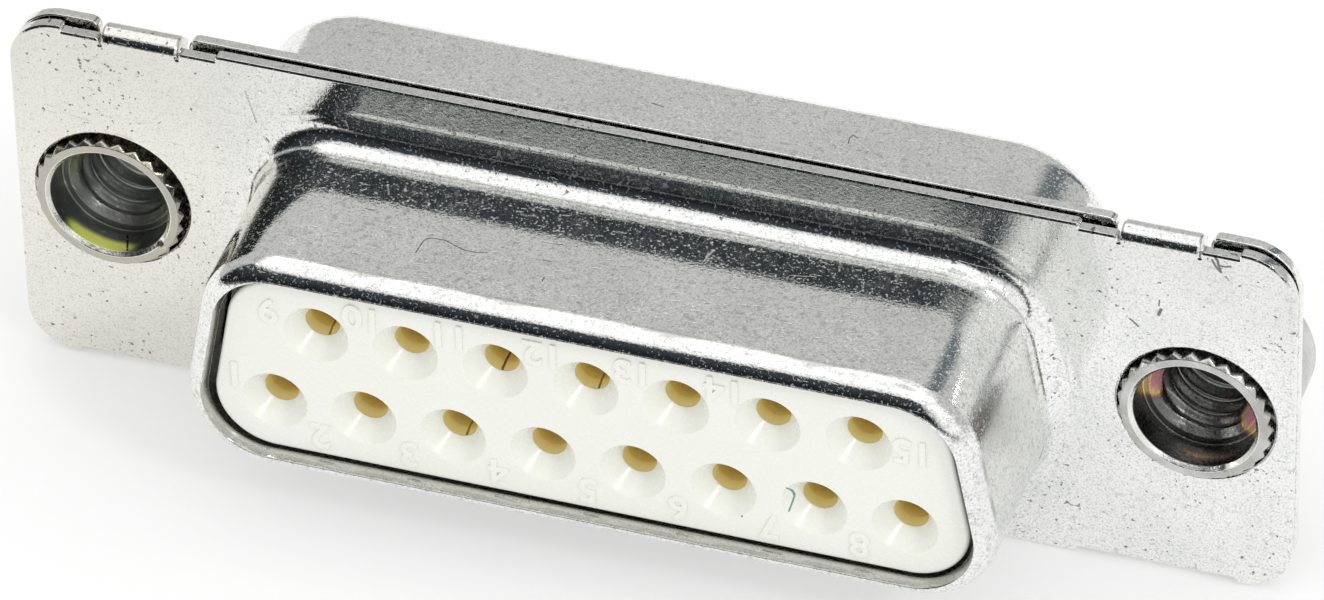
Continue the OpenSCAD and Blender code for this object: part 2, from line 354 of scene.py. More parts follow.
# The left insert sits low and to the left in its hole, so that hole lies right and up of the insert
insert_x = (insert_low[0] + insert_high[0]) / 2
hole_places = [(insert_x + hole_shift, hole_shift), (-insert_x, 0)]
hole_steps = 120
screw_holes = [hole(place, hole_r, hole_steps) for place in hole_places]
lip_tangent = lip_r * math.tan(lip_turn / 2)
lip_corner = lip_start + lip_tangent
lip_end = (-lip_tangent * math.sin(lip_turn), lip_corner + lip_tangent * math.cos(lip_turn))
mark_steps = 12
share = np.linspace(0, 1, mark_steps, endpoint=False)
draw_mark = np.stack(
    [root_r + LEAD + mark_w * (1 - share), mark_d * (np.cos(2 * np.pi * share) - 1) / 2], 1
)
bent_strip = strip([(root_r + LEAD, 0), (0, 0), (0, lip_corner), lip_end], [0, root_r, lip_r, 0], front_t)
shroud_section = np.concatenate([draw_mark, bent_strip])
print("the shroud's section has", len(shroud_section), "points")

# %% The blank and its tabs
tab_x = 15.50
tab_w = 2.35
tab_rise = 0.05
tab_in_r = 0.03
tab_turn = math.radians(135)
tab_leg = 0.75
relief_w = 1.20
relief_d = 0.18
slit = 0.06
blank_corner_r = 0.13
tab_corner_r = 0.25
slit_r = 0.025
bend_step = 0.035
blank_step = 0.4
tab_columns = 26
tab_start = 0.10
tab_stop = 0.12
tab_r = front_t + tab_in_r
bend_up = flange_h / 2 + tab_rise - tab_r
bend_length = tab_turn * (tab_r - front_t / 2)
tab_end = bend_up + bend_length + tab_leg


def both_edges(lower):
    """A closed outline from its lower edge: the upper edge is the lower one turned half round."""
    corners = np.array([corner for corner, _ in lower])
    radii = [radius for _, radius in lower]
    return np.concatenate([corners, -corners]), radii * 2


def mirrored(left, x):
    """Corners on the left of an axis at x, with their mirror images on its right, each with its radius."""
    right = [((-across, up), radius) for (across, up), radius in reversed(left)]
    return [((x + across, up), radius) for (across, up), radius in left + right]


def tab_outline(x):
    """Corners of the lower edge round one tab of the flat blank: relief, slit, tab, slit, relief."""
    half = tab_w / 2
    floor = -flange_h / 2 + relief_d
    left = [
        ((-half - relief_w, -flange_h / 2), blank_corner_r),
        ((-half - relief_w, floor), slit_r),
        ((-half - slit, floor), blank_corner_r),
        ((-half - slit, -bend_up), slit_r),
        ((-half, -bend_up), slit_r),
        ((-half, -tab_end), tab_corner_r),
    ]
    return mirrored(left, x)


def bend_tabs(points):
    """Wraps what lies past the bend line of a tab round the bend's axis, then runs on straight."""
    x, up, out = points.T
    past = np.abs(up) - bend_up
    on_tab = (np.abs(np.abs(x) - tab_x) < tab_w / 2 + slit / 2) & (past > 0)
    turn = np.clip(past / bend_length, 0, 1) * tab_turn
    rest = np.maximum(past - bend_length, 0)
    radius = tab_r + out
    new_up = bend_up + radius * np.sin(turn) + rest * np.cos(turn)
    new_out = -tab_r + radius * np.cos(turn) - rest * np.sin(turn)
    bent = np.stack([x, np.sign(up) * new_up, new_out], 1)
    return np.where(on_tab[:, None], bent, points)


corner = [((-flange_w / 2, -flange_h / 2), flange_r)]
far_corner = [((flange_w / 2, -flange_h / 2), flange_r)]
lower_edge = corner + tab_outline(-tab_x) + tab_outline(tab_x) + far_corner
blank_line = rounded(*both_edges(lower_edge), CORNER_STEPS)
by_tab = np.abs(np.abs(blank_line[0][:, 0]) - tab_x) < tab_w / 2 + slit / 2
on_bend = by_tab & (np.abs(blank_line[0][:, 1]) >= bend_up)
blank = densify(blank_line, np.where(on_bend, bend_step, blank_step))
tab_grid = np.meshgrid(
    np.linspace(-tab_w / 2, tab_w / 2, tab_columns)[2:-2],
    np.arange(bend_up - tab_start, tab_end - tab_stop, bend_step),
)
tab_points = np.stack(tab_grid, -1).reshape(-1, 2)
tab_points = [point + [x, 0] for x in (-tab_x, tab_x) for point in tab_points]
tab_points = np.concatenate([tab_points, np.negative(tab_points)])
print("the blank has", len(blank[0]), "points, a flat tab is", round(tab_end - bend_up, 2), "mm long")

# %% Draw and fold the front shell
def vertex_places(piece):
    """The places of a piece's vertices in millimetres, as three arrays."""
    points = np.zeros(len(piece.data.vertices) * 3, np.float32)
    piece.data.vertices.foreach_get("co", points)
    return points.reshape(-1, 3).T.astype(float) / MM


def paint(piece, name, values):
    """One value for each vertex, as an attribute that a material can read."""
    layer = piece.data.attributes.new(name, "FLOAT", "POINT")
    layer.data.foreach_set("value", np.asarray(values, np.float32))


def paint_inside(piece):
    """1 on the lip's cut end and inside the shroud, 0 outside. It marks the cut end, which is bare steel, and
    the shroud's inner wall, which gets painted shade. The lip's outer surface lies lip_r from the axis of its
    bend, so whatever is nearer to that axis is inside."""
    across, back, up = vertex_places(piece)
    flat = np.stack([across, up], 1)
    line = densify(d_outline(shroud_w, shroud_h, shroud_r), fine_step)[0]
    square = (flat**2).sum(1)[:, None] + (line**2).sum(1) - 2 * flat @ line.T
    deep = np.sqrt(np.maximum(square.min(1), 0))
    in_lip = (-back > lip_start) & (np.hypot(deep - lip_r, -back - lip_start) < lip_r - BREAK_R)
    in_wall = (-back > root_r) & (-back <= lip_start) & (deep > front_t / 2)
    paint(piece, "inside", in_lip | in_wall)


front_roll = (0.07, 0.04)
front_break = (0.10, 0.08)
fine_step = 0.1
d_step = 0.5
shroud_path = densify(d_outline(shroud_w, shroud_h, shroud_r), d_step)
front_edge = cut_edge(0, -front_t, front_roll, front_break)
front_patches = sheet(blank, shroud_path, shroud_section, front_edge, tab_points)
front_shell = stand_for(solid("front_shell_sheet", front_patches, bend_tabs), "front_shell")
paint_inside(front_shell)

# %% [markdown]
# ## The rear shell
# The rear shell is drawn the other way, to a wider D with a rim round the rear opening. Its flange has four
# notches with rounded corners, which let the tabs of the front shell fold over.

# %% Draw the rear shell
notch_room = 0.22
notch_gap = 0.03
notch_r = 0.30
notch_floor_r = 0.12
notch_step = 0.3
rear_roll = (0.03, 0.03)
rear_break = (0.05, 0.05)
leg_run = (-rear_back - tab_r + tab_in_r * math.cos(tab_turn)) / math.tan(tab_turn)
notch_floor = bend_up + tab_in_r * math.sin(tab_turn) + leg_run - notch_gap


def notch_outline(x):
    """Corners of the rear flange's lower edge round one notch."""
    half = tab_w / 2 + notch_room
    left = [((-half, -flange_h / 2), notch_r), ((-half, -notch_floor), notch_floor_r)]
    return mirrored(left, x)


back_section = strip(
    [(back_root_r + LEAD, rear_back), (0, rear_back), (0, -back_reach), (-rim_w, -back_reach)],
    [0, back_root_r, rim_r, 0],
    -rear_t,
)
back_path = densify(d_outline(back_w, back_h, back_r), d_step)
notched_edge = corner + notch_outline(-tab_x) + notch_outline(tab_x) + far_corner
notched = densify(rounded(*both_edges(notched_edge), CORNER_STEPS), notch_step)
rear_edge = cut_edge(rear_front, rear_back, rear_roll, rear_break)
rear_patches = sheet(notched, back_path, back_section, rear_edge)
rear_shell = stand_for(solid("rear_shell_sheet", rear_patches), "rear_shell")

# %% [markdown]
# ## The insulators
# Two moulded blocks hold the contacts. The front one shows its face inside the shroud, with a funnel over
# each socket. Its outside is a stack of D rings, each with the same number of points, so rings of different
# outlines join into one wall. Each funnel is a hole in the face that carries its own profile inwards.

# %% Places of the contacts
contact_names = sorted(name for name in frame["nodes"] if name.startswith("contact_"))
contact_places = [(sum(span(name))[[0, 2]] / 2).tolist() for name in contact_names]
upper_row = [place[1] > 0 for place in contact_places]
print(len(contact_places), "contacts,", sum(upper_row), "of them in the upper row")

# %% Mould the front insulator
nose_gap = 0.08
nose_side_gap = 0.08
nose_shift = 0.04
nose_step = 1.60
nose_edge_r = 0.12
shell_gap = 0.05
funnel_r = 1.00
funnel_d = 0.65
entry_r = 0.53
entry_l = 0.05
funnel_edge_r = 0.05
throat_r = 0.03
entry_edge_r = 0.02
funnel_steps = 72
barrel_r = 0.75
contact_gap = 0.05
nose_start = lip_start - nose_step
lip_inset = lip_r - (lip_r - front_t) * math.cos(lip_turn)
funnel_end = face_reach - funnel_d
entry_end = funnel_end - entry_l
socket_front = entry_end - contact_gap / 2

nose = offset(d_outline(shroud_w - 2 * nose_side_gap, shroud_h, shroud_r), -lip_inset - nose_gap)
# The moulding isn't quite in the middle of the shroud
nose = nose[0] + [nose_shift, 0], nose[1]
plug = offset(d_outline(shroud_w, shroud_h, shroud_r), -front_t - shell_gap)
block = offset(d_outline(back_w, back_h, back_r), -rear_t - shell_gap)
nose_profile = rounded(
    [(-nose_edge_r - LEAD, face_reach), (0, face_reach), (0, nose_start)], [0, nose_edge_r, 0], 8
)[0]
front_outside = np.concatenate(
    [
        carry(nose, nose_profile),
        carry(plug, [(0, nose_start), (0, -front_t)]),
        carry(block, [(0, -front_t), (0, base_back)]),
    ]
)
entry_in = funnel_r - entry_r
barrel_in = funnel_r - barrel_r - contact_gap
funnel_profile = rounded(
    [
        (-funnel_edge_r - LEAD, face_reach),
        (0, face_reach),
        (entry_in, funnel_end),
        (entry_in, entry_end),
        (barrel_in, entry_end),
        (barrel_in, base_back),
    ],
    [0, funnel_edge_r, throat_r, entry_edge_r, 0, 0],
    7,
)[0]


def block_with_holes(outside, profile, radius):
    """A moulded block: its outside wall, one hole with the given profile at each contact, and two faces."""
    holes = [carry(hole(place, radius, funnel_steps), profile) for place in contact_places]
    walls = [outside, *holes]
    return [wall(grid) for grid in walls] + [cap([grid[row] for grid in walls]) for row in (0, -1)]


front_block = block_with_holes(front_outside, funnel_profile, funnel_r)
front_insulator = stand_for(solid("front_insulator_moulding", front_block), "front_insulator")

# %% Mould the rear insulator
boss_edge_r = 0.10
cup_r = 0.85
shoulder_l = 0.60
shoulder_back = base_back - shoulder_l
rim_start = -back_reach + rim_r
rim_front = -back_reach + rear_t
step = offset(d_outline(back_w, back_h, back_r), -rim_r - shell_gap)
boss = offset(d_outline(back_w, back_h, back_r), -rim_w - shell_gap)
boss_profile = rounded(
    [(0, rim_front), (0, boss_end), (-boss_edge_r - LEAD, boss_end)], [0, boss_edge_r, 0], 6
)[0]
rear_outside = np.concatenate(
    [
        carry(block, [(0, base_back), (0, rim_start)]),
        carry(step, [(0, rim_start), (0, rim_front)]),
        carry(boss, boss_profile),
    ]
)
seat_out = cup_r - shoulder_r
seat_profile = rounded(
    [
        (seat_out, base_back),
        (seat_out, shoulder_back),
        (0, shoulder_back),
        (0, boss_end),
        (-funnel_edge_r - LEAD, boss_end),
    ],
    [0, 0, 0, funnel_edge_r, 0],
    5,
)[0]
rear_block = block_with_holes(rear_outside, seat_profile, cup_r + contact_gap)
rear_insulator = stand_for(solid("rear_insulator_moulding", rear_block), "rear_insulator")

# %% [markdown]
# ## The contacts
# A socket contact is turned from rod: a barrel with a bore for the pin and a short cone that leads it in, a
# shoulder that the insulators trap, and a solder cup with one side cut away. One profile turned round the
# axis gives all of that. Two things break the symmetry, and both are formulas of the angle: the cup's end
# height, and a slit along the barrel that opens where the angle is cut short by half the slit's width over
# the radius.

# %% Turn one contact
socket_r = 0.51
socket_d = 5.20
seam_w = 0.08
seam_l = 4.40
cup_bore_r = 0.60
cup_d = 2.30
scoop_l = 1.60
scoop_ease = 0.06
rim_edge = 0.05
lead_in_w = 0.06
lead_in_l = 0.33
lead_in_edge = 0.02
seam_end = socket_front - seam_l
bore_end = socket_front - socket_d
cup_floor = -cup_reach + cup_d
lead_in_end = socket_front - lead_in_l
seam_heights = np.append(np.linspace(seam_end, lead_in_end - lead_in_edge, 11), lead_in_end)
TURNS = 97


def turned(profile, opening, seam, end_height):
    """A profile of (radius, height) turned round the axis. opening is half the slit's width on each row, and
    heights below the cup's floor are stretched so that the wall ends at end_height(angle)."""
    radius, height = np.asarray(profile, float).T
    half = np.asarray(opening) / np.maximum(radius, socket_r)
    share = np.linspace(0, 1, TURNS)
    angle = seam + half[:, None] + share * (2 * np.pi - 2 * half[:, None])
    low = np.minimum(height - cup_floor, 0)[:, None] / cup_d
    tall = np.maximum(height, cup_floor)[:, None] - low * (end_height(angle) - cup_floor)
    return np.stack([radius[:, None] * np.cos(angle), radius[:, None] * np.sin(angle), tall], -1)


def make_contact(name, place, upper, seam):
    """A contact's patches: the turned surface, and the two walls of its slit."""
    inner = [(socket_r, h) for h in seam_heights] + [(socket_r + lead_in_w, socket_front)]
    outer = [(barrel_r, h) for h in seam_heights[:-1]]
    outer += [(barrel_r, socket_front - rim_edge), (barrel_r - rim_edge, socket_front)]
    closed_in, closed_out = (socket_r, seam_end - seam_w), (barrel_r, seam_end - seam_w)
    front = [(0, bore_end), (socket_r, bore_end), closed_in]
    rear = [
        closed_out,
        (barrel_r, base_back),
        (shoulder_r - rim_edge, base_back),
        (shoulder_r, base_back - rim_edge),
        (shoulder_r, shoulder_back + rim_edge),
        (shoulder_r - rim_edge, shoulder_back),
        (cup_r, shoulder_back),
        (cup_r, cup_floor),
        (cup_r, -cup_reach + rim_edge),
        (cup_r - rim_edge, -cup_reach),
        (cup_bore_r, -cup_reach),
        (cup_bore_r, cup_floor),
        (0, cup_floor),
    ]
    # The barrel's middle rows are the slit's: bore upwards, then outside downwards
    profile = front + inner + outer[::-1] + rear
    slit_rows = range(len(front), len(front) + len(inner) + len(outer))
    opening = [seam_w / 2 if row in slit_rows else 0 for row in range(len(profile))]
    cut = 1 if upper else -1

    def end_height(angle):
        """Where the cup's wall ends: scooped away on the side that looks out of the connector."""
        side = np.clip(np.sin(angle) * cut / scoop_ease + 0.5, 0, 1)
        return -cup_reach + scoop_l * side * side * (3 - 2 * side)

    grid = turned(profile, opening, seam, end_height)
    first, last = slit_rows[0] - 1, slit_rows[-1] + 1
    middle = first + len(inner) + 1
    sides = [
        np.stack([grid[first:middle, column], grid[middle : last + 1, column][::-1]], 1)
        for column in (0, -1)
    ]
    patches = [wall(grid, False)] + [wall(side, False) for side in sides]
    moved = [(points + [*place, 0], faces) for points, faces in patches]
    return stand_for(solid(f"socket_{name}", moved), name)


# Four slits face down, where the camera sees them, and the others are turned out of sight
seams_below = ("contact_03", "contact_09", "contact_11", "contact_12")
seam_below = -75
seam_above = 60
seam_turn = 10
contacts = []
for number, (name, place, upper) in enumerate(zip(contact_names, contact_places, upper_row), 1):
    below = seam_below - seam_turn * (number % 3)
    above = seam_above + seam_turn * (number % 6)
    seam_angle = math.radians(below if name in seams_below else above)
    contacts.append(make_contact(name, place, upper, seam_angle))

# %% [markdown]
# ## The threaded inserts
# Each insert is turned too: a collar with a knurled edge in the flange's hole, a body behind it and a screw
# thread inside. Knurl and thread are the same idea: the radius is a function of the angle, and for the
# thread of the height as well, so that its ridge climbs one pitch with every turn.

# %% Turn the inserts
collar_r = 2.20
collar_edge_r = 0.05
knurl_r = 2.33
knurl_d = 0.12
knurl_teeth = 27
mouth_r = 1.96
counterbore_r = 1.84
counterbore_d = 0.82
seat_r = 1.62
thread_r = 1.20
thread_depth = 0.22
thread_pitch = 0.635
tail_chamfer = 0.25
thread_front = -counterbore_d - seat_r + thread_r + thread_depth
thread_back = -insert_reach + tail_chamfer
tail_edge_r = 0.15
neck_r = 0.04
mouth_edge_r = 0.04
mouth_floor_r = 0.03
counterbore_floor_r = 0.05
seat_edge_r = 0.04
head_step = 0.03
nick_reach = 0.10
bore_slack = 0.01
mouth_slack = 0.02
ARC_STEPS = 6
TOOTH_POINTS = 12
TURN_ROWS = 16


def wave(turns):
    """A triangle wave: 0 at whole turns, 1 half way between them."""
    return 1 - np.abs(2 * (turns - np.floor(turns)) - 1)


def ripple(turns):
    """A cosine wave between the same values."""
    return 0.5 - 0.5 * np.cos(2 * np.pi * turns)


def paint_bore(piece, x, patches):
    """Values on each vertex: bore is 1 inside the hole, mouth on its lead-in, crest on the thread's ridges,
    and film is the tint of the skin: a sum of soft patches (angle, angle width, height, height width, tint)
    with tints from -1, pink, to 1, green."""
    across, back, up = vertex_places(piece)
    radius, angle = np.hypot(across - x, up), np.arctan2(up, across - x)
    bore = (radius < counterbore_r + bore_slack) & (back < insert_reach - tail_chamfer / 2)
    crest = np.clip((thread_r + thread_depth - radius) / thread_depth, 0, 1) * (back > -thread_front)
    film = np.zeros(len(back))
    for at, width, height, reach, tint in patches:
        swing = np.abs((angle - math.radians(at) + np.pi) % (2 * np.pi) - np.pi)
        film += tint * np.exp(-((swing / width) ** 4) - ((back + height) / reach) ** 2)
    paint(piece, "bore", bore)
    paint(piece, "mouth", (radius < mouth_r + mouth_slack) & ~bore)
    paint(piece, "crest", crest * bore)
    paint(piece, "film", film * bore)


def make_insert(node, x, nicks, patches):
    """An insert's surface. nicks are dents in the mouth's edge: (angle, half width, depth). On the knurl the
    radius is the lesser of the chamfer's cone and the teeth, so each tooth ends in a triangle in front."""
    tail = rounded(
        [
            (thread_r + tail_chamfer, -insert_reach),
            (insert_r, -insert_reach),
            (insert_r, rear_back),
            (knurl_r, rear_back),
        ],
        [0, tail_edge_r, neck_r, 0],
        ARC_STEPS,
    )[0]
    mouth_slope = mouth_r - counterbore_r
    head = rounded(
        [
            (knurl_r, rear_back),
            (knurl_r, collar_out - knurl_r + collar_r),
            (collar_r, collar_out),
            (mouth_r, collar_out),
            (counterbore_r, collar_out - mouth_slope),
            (counterbore_r, -counterbore_d),
            (seat_r, -counterbore_d),
            (thread_r + thread_depth, thread_front),
        ],
        [0, 0, collar_edge_r, mouth_edge_r, mouth_floor_r, counterbore_floor_r, seat_edge_r, 0],
        ARC_STEPS,
    )[0]
    head = refine(head[ARC_STEPS - 1 : 1 - ARC_STEPS], head_step)
    rows = math.ceil((thread_front - thread_back) / thread_pitch * TURN_ROWS)
    thread = np.stack([np.full(rows, thread_r), np.linspace(thread_front, thread_back, rows + 1)[1:]], 1)
    radius, height = np.concatenate([tail, head[1:], thread, tail[:1]]).T[:, :, None]
    angle = np.linspace(0, 2 * np.pi, knurl_teeth * TOOTH_POINTS, endpoint=False)
    row = np.arange(len(radius))[:, None]
    on_head = (row >= len(tail)) & (row < len(radius) - 1 - rows)
    on_thread = (row >= len(radius) - 1 - rows) & (row < len(radius) - 1)
    tooth = knurl_r - knurl_d * wave(angle * knurl_teeth / (2 * np.pi))
    grown = np.where(on_head, np.minimum(radius, tooth), radius + 0 * angle)
    run_in = np.clip((thread_front - height) / thread_pitch * 2, 0, 1)
    ridge = np.maximum(ripple(height / thread_pitch - angle / (2 * np.pi)), 1 - run_in)
    grown = grown + on_thread * thread_depth * ridge
    at_mouth = np.exp(-(((radius - mouth_r) / nick_reach) ** 2)) * (height > 0)
    dent = sum(d * np.exp(-(((angle - a + np.pi) % (2 * np.pi) - np.pi) / w) ** 2) for a, w, d in nicks)
    sunk = np.broadcast_to(height, grown.shape) - at_mouth * dent
    grid = np.stack([x + grown * np.cos(angle), grown * np.sin(angle), sunk], -1)
    piece = solid(f"{node}_turned", [wall(grid)])
    paint_bore(piece, x, patches)
    return stand_for(piece, node)


left_nicks = [(math.radians(-33), 0.09, 0.10)]
right_nicks = [(math.radians(-60), 0.06, 0.05)]
left_film = [(-105, 0.62, -0.02, 0.25, 1.25), (155, 0.5, -1.1, 0.35, 0.3), (-20, 0.4, -1.1, 0.3, 0.3)]
right_film = [(-75, 0.6, -0.25, 0.30, -0.5), (165, 0.6, -1.0, 0.3, -1.0), (-15, 0.5, -1.0, 0.3, -1.0)]
left_insert = make_insert("left_insert", insert_x, left_nicks, left_film)
right_insert = make_insert("right_insert", -insert_x, right_nicks, right_film)

# %% [markdown]
# ## The position numbers
# Small raised numbers are moulded beside the funnels. They read the right way up when the wide side of the D
# is on top, so from here they stand on their heads. Blender's own font gives the shapes: each number is
# made a mesh at its own size first, and then turned, scaled and set on the face by arithmetic.

# %% Mould the position numbers
number_h = 0.92
number_relief = 0.06
number_sink = 0.02
beside_lower = (-1.37, -1.02)
beside_upper = (-1.37, 1.00)
beside_ends = {1: (-1.20, 0.75), 9: (-1.42, 0.62), 15: (1.52, 0.08)}


def number_patch(number, centre):
    """The mesh of one number in millimetres, its middle at centre and its back just under the face."""
    curve = bpy.data.curves.new("number", "FONT")
    curve.body = str(number)
    curve.extrude = 0.5
    curve.bevel_depth = 0.02
    curve.bevel_resolution = 2
    curve.resolution_u = 6
    words = bpy.data.objects.new("number", curve)
    mesh = words.to_mesh()
    points = np.zeros(len(mesh.vertices) * 3, np.float32)
    mesh.vertices.foreach_get("co", points)
    points = points.reshape(-1, 3).astype(float)
    mesh.calc_loop_triangles()
    faces = np.zeros(len(mesh.loop_triangles) * 3, np.int32)
    mesh.loop_triangles.foreach_get("vertices", faces)
    words.to_mesh_clear()
    bpy.data.objects.remove(words)
    bpy.data.curves.remove(curve)
    low, high = points.min(0), points.max(0)
    scale = number_h / (high[1] - low[1])
    flat = -(points[:, :2] - (low[:2] + high[:2]) / 2) * scale + centre
    depth = (points[:, 2:] - low[2]) / (high[2] - low[2])
    height = face_reach - number_sink + depth * (number_relief + number_sink)
    return np.concatenate([flat, height], 1), faces.reshape(-1, 3)


number_patches = []
for number, (place, upper) in enumerate(zip(contact_places, upper_row), 1):
    beside = beside_ends.get(number, beside_upper if upper else beside_lower)
    number_patches.append(number_patch(number, np.add(place, beside)))
numbers = solid("position_numbers", number_patches)
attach(numbers, "root")
report(numbers)

# %% [markdown]
# ## Finishes
# Every finish is built from nodes that read the object's own coordinates, in metres, so a scale of 5000
# makes marks of about a fifth of a millimetre. Effects that several finishes share are node groups.

# %% Tools for node trees
def feed(tree, socket, value):
    """Gives a socket its value: a link where that is another node's socket, and otherwise a constant."""
    if isinstance(value, bpy.types.NodeSocket):
        tree.links.new(value, socket)
    else:
        socket.default_value = value


def add(tree, kind, inputs=None, **settings):
    """A new shader node with its settings and its inputs."""
    made = tree.nodes.new("ShaderNode" + kind)
    for key, value in settings.items():
        setattr(made, key, value)
    for key, value in (inputs or {}).items():
        feed(tree, made.inputs[key], value)
    return made


def math_node(tree, operation, first, second=0.0):
    """The output of a Math node."""
    return add(tree, "Math", {0: first, 1: second}, operation=operation).outputs[0]


def product(tree, first, *others):
    """The product of several values."""
    for other in others:
        first = math_node(tree, "MULTIPLY", first, other)
    return first


def add_up(tree, value, parts):
    """A value plus the parts, each a mask and the amount that it adds."""
    for mask, amount in parts:
        value = math_node(tree, "ADD", value, product(tree, mask, amount))
    return value


def vector_node(tree, operation, first, second):
    """The output of a VectorMath node: a value for a dot product or a distance, otherwise a vector."""
    key = "Scale" if operation == "SCALE" else 1
    made = add(tree, "VectorMath", {0: first, key: second}, operation=operation)
    return made.outputs["Value" if operation in ("DOT_PRODUCT", "DISTANCE") else 0]


def mix(tree, share, first, second):
    """The output of a Mix node between two values."""
    return add(tree, "Mix", {0: share, 2: first, 3: second}).outputs[0]


def blend(tree, share, first, second):
    """The output of a Mix node between two colours."""
    return add(tree, "Mix", {0: share, 6: first, 7: second}, data_type="RGBA").outputs[2]


def overlay(tree, tone, layers):
    """A colour with others laid over it in turn, each by its own mask."""
    for mask, colour in layers:
        tone = blend(tree, mask, tone, colour)
    return tone


def ramp(tree, value, low, high, start=0.0, end=1.0):
    """A value carried smoothly from one range to another."""
    names = {"Value": value, "From Min": low, "From Max": high, "To Min": start, "To Max": end}
    return add(tree, "MapRange", names, interpolation_type="SMOOTHSTEP").outputs["Result"]


def noise(tree, place, scale, detail, roughness=0.5):
    """A noise between 0 and 1, with finer noises on it as detail and roughness say."""
    inputs = {"Vector": place, "Scale": scale, "Detail": detail, "Roughness": roughness}
    return add(tree, "TexNoise", inputs).outputs["Fac"]


def bump(tree, height, rise, **below):
    """The normal of a surface that rises by so many metres where the height goes from 0 to 1."""
    inputs = {"Height": height, "Strength": 1.0, "Distance": rise, **below}
    return add(tree, "Bump", inputs).outputs["Normal"]


def parts_of(tree, vector):
    """The three parts of a vector, X, Y and Z."""
    return add(tree, "SeparateXYZ", {0: vector}).outputs


def painted(tree, name):
    """The value that was painted on the vertices."""
    return add(tree, "Attribute", attribute_name=name).outputs["Fac"]


def new_group(name, inputs, outputs):
    """An empty node group with float sockets, and vector sockets where the default is a tuple."""
    group = bpy.data.node_groups.new(name, "ShaderNodeTree")
    for side, sockets in (("INPUT", inputs), ("OUTPUT", outputs)):
        for key, value in sockets.items():
            kind = "NodeSocketVector" if isinstance(value, tuple) else "NodeSocketFloat"
            socket = group.interface.new_socket(key, in_out=side, socket_type=kind)
            socket.default_value = value
    entry = group.nodes.new("NodeGroupInput")
    leave = group.nodes.new("NodeGroupOutput")
    return group, entry.outputs, leave.inputs


def place_group(tree, group, inputs):
    """The mask of a group that is placed in a tree with its own values."""
    made = tree.nodes.new("ShaderNodeGroup")
    made.node_tree = group
    for key, value in inputs.items():
        feed(tree, made.inputs[key], value)
    return made.outputs["Mask"]


def new_material(name):
    """A material with a Principled shader, and a socket of the object's coordinates."""
    material = bpy.data.materials.new(name)
    material.use_nodes = True
    tree = material.node_tree
    shader = tree.nodes["Principled BSDF"]
    place = add(tree, "TexCoord").outputs["Object"]
    return material, tree, shader, place


def dress(tree, shader, sockets):
    """Gives a shader's sockets their values."""
    for key, value in sockets.items():
        feed(tree, shader.inputs[key], value)


# %% Shared effects: specks, flecks, strokes and scratches
SOFT_EDGE = 0.4
BROAD_SCALE = 0.06
FLECK_EDGE = 0.06
SCRATCH_EDGE = 0.05


def make_specks():
    """Small round pits: in some cells of a Voronoi pattern, what lies nearer to the middle than a radius."""
    group, given, result = new_group(
        "pits_and_specks", {"Place": (0, 0, 0), "Scale": 2500.0, "Share": 0.3, "Size": 0.2}, {"Mask": 0.0}
    )
    cells = add(group, "TexVoronoi", {"Vector": given["Place"], "Scale": given["Scale"]})
    chance = add(group, "SeparateColor", {0: cells.outputs["Color"]})
    chosen = math_node(group, "LESS_THAN", chance.outputs[0], given["Share"])
    size = product(group, given["Size"], chance.outputs[1])
    near = ramp(group, cells.outputs["Distance"], size, product(group, size, SOFT_EDGE))
    group.links.new(product(group, chosen, near), result["Mask"])
    return group


def make_flecks():
    """Irregular flecks: a fine noise, of which only the highest part is kept. A broad noise moves the limit,
    so that the flecks gather in some places."""
    group, given, result = new_group(
        "flecks", {"Place": (0, 0, 0), "Scale": 14000.0, "Keep": 0.62, "Gather": 0.15}, {"Mask": 0.0}
    )
    fine = noise(group, given["Place"], given["Scale"], 2.0)
    broad = noise(group, given["Place"], product(group, given["Scale"], BROAD_SCALE), 2.0)
    drift = product(group, math_node(group, "SUBTRACT", broad, 0.5), given["Gather"])
    level = math_node(group, "ADD", fine, drift)
    high = math_node(group, "ADD", given["Keep"], FLECK_EDGE)
    group.links.new(ramp(group, level, given["Keep"], high), result["Mask"])
    return group


def make_stroke():
    """One straight mark: 1 where the distance to the line from Start to End is under a width. The nearest
    point of the line lies at the share t = (p - a).(b - a) / |b - a|^2 of it, kept between 0 and 1."""
    group, given, result = new_group(
        "single_stroke",
        {"Place": (0, 0, 0), "Start": (0, 0, 0), "End": (0, 0, 0), "Width": 2e-5},
        {"Mask": 0.0},
    )
    from_start = vector_node(group, "SUBTRACT", given["Place"], given["Start"])
    whole = vector_node(group, "SUBTRACT", given["End"], given["Start"])
    along = vector_node(group, "DOT_PRODUCT", from_start, whole)
    length = vector_node(group, "DOT_PRODUCT", whole, whole)
    share = add(group, "Math", {0: along, 1: length}, operation="DIVIDE", use_clamp=True).outputs[0]
    away = vector_node(group, "DISTANCE", from_start, vector_node(group, "SCALE", whole, share))
    inner = product(group, given["Width"], SOFT_EDGE)
    group.links.new(ramp(group, away, given["Width"], inner), result["Mask"])
    return group


def strokes(tree, place, lines):
    """The mask of many marks, each a width and a line of points in millimetres. One point makes a dot."""
    mask = 0.0
    for width, points in lines:
        for start, end in zip(points, points[1:] or points):
            ends = {"Start": np.multiply(start, MM).tolist(), "End": np.multiply(end, MM).tolist()}
            stroke = place_group(tree, stroke_group, {"Place": place, "Width": width * MM, **ends})
            mask = math_node(tree, "MAXIMUM", stroke, mask)
    return mask


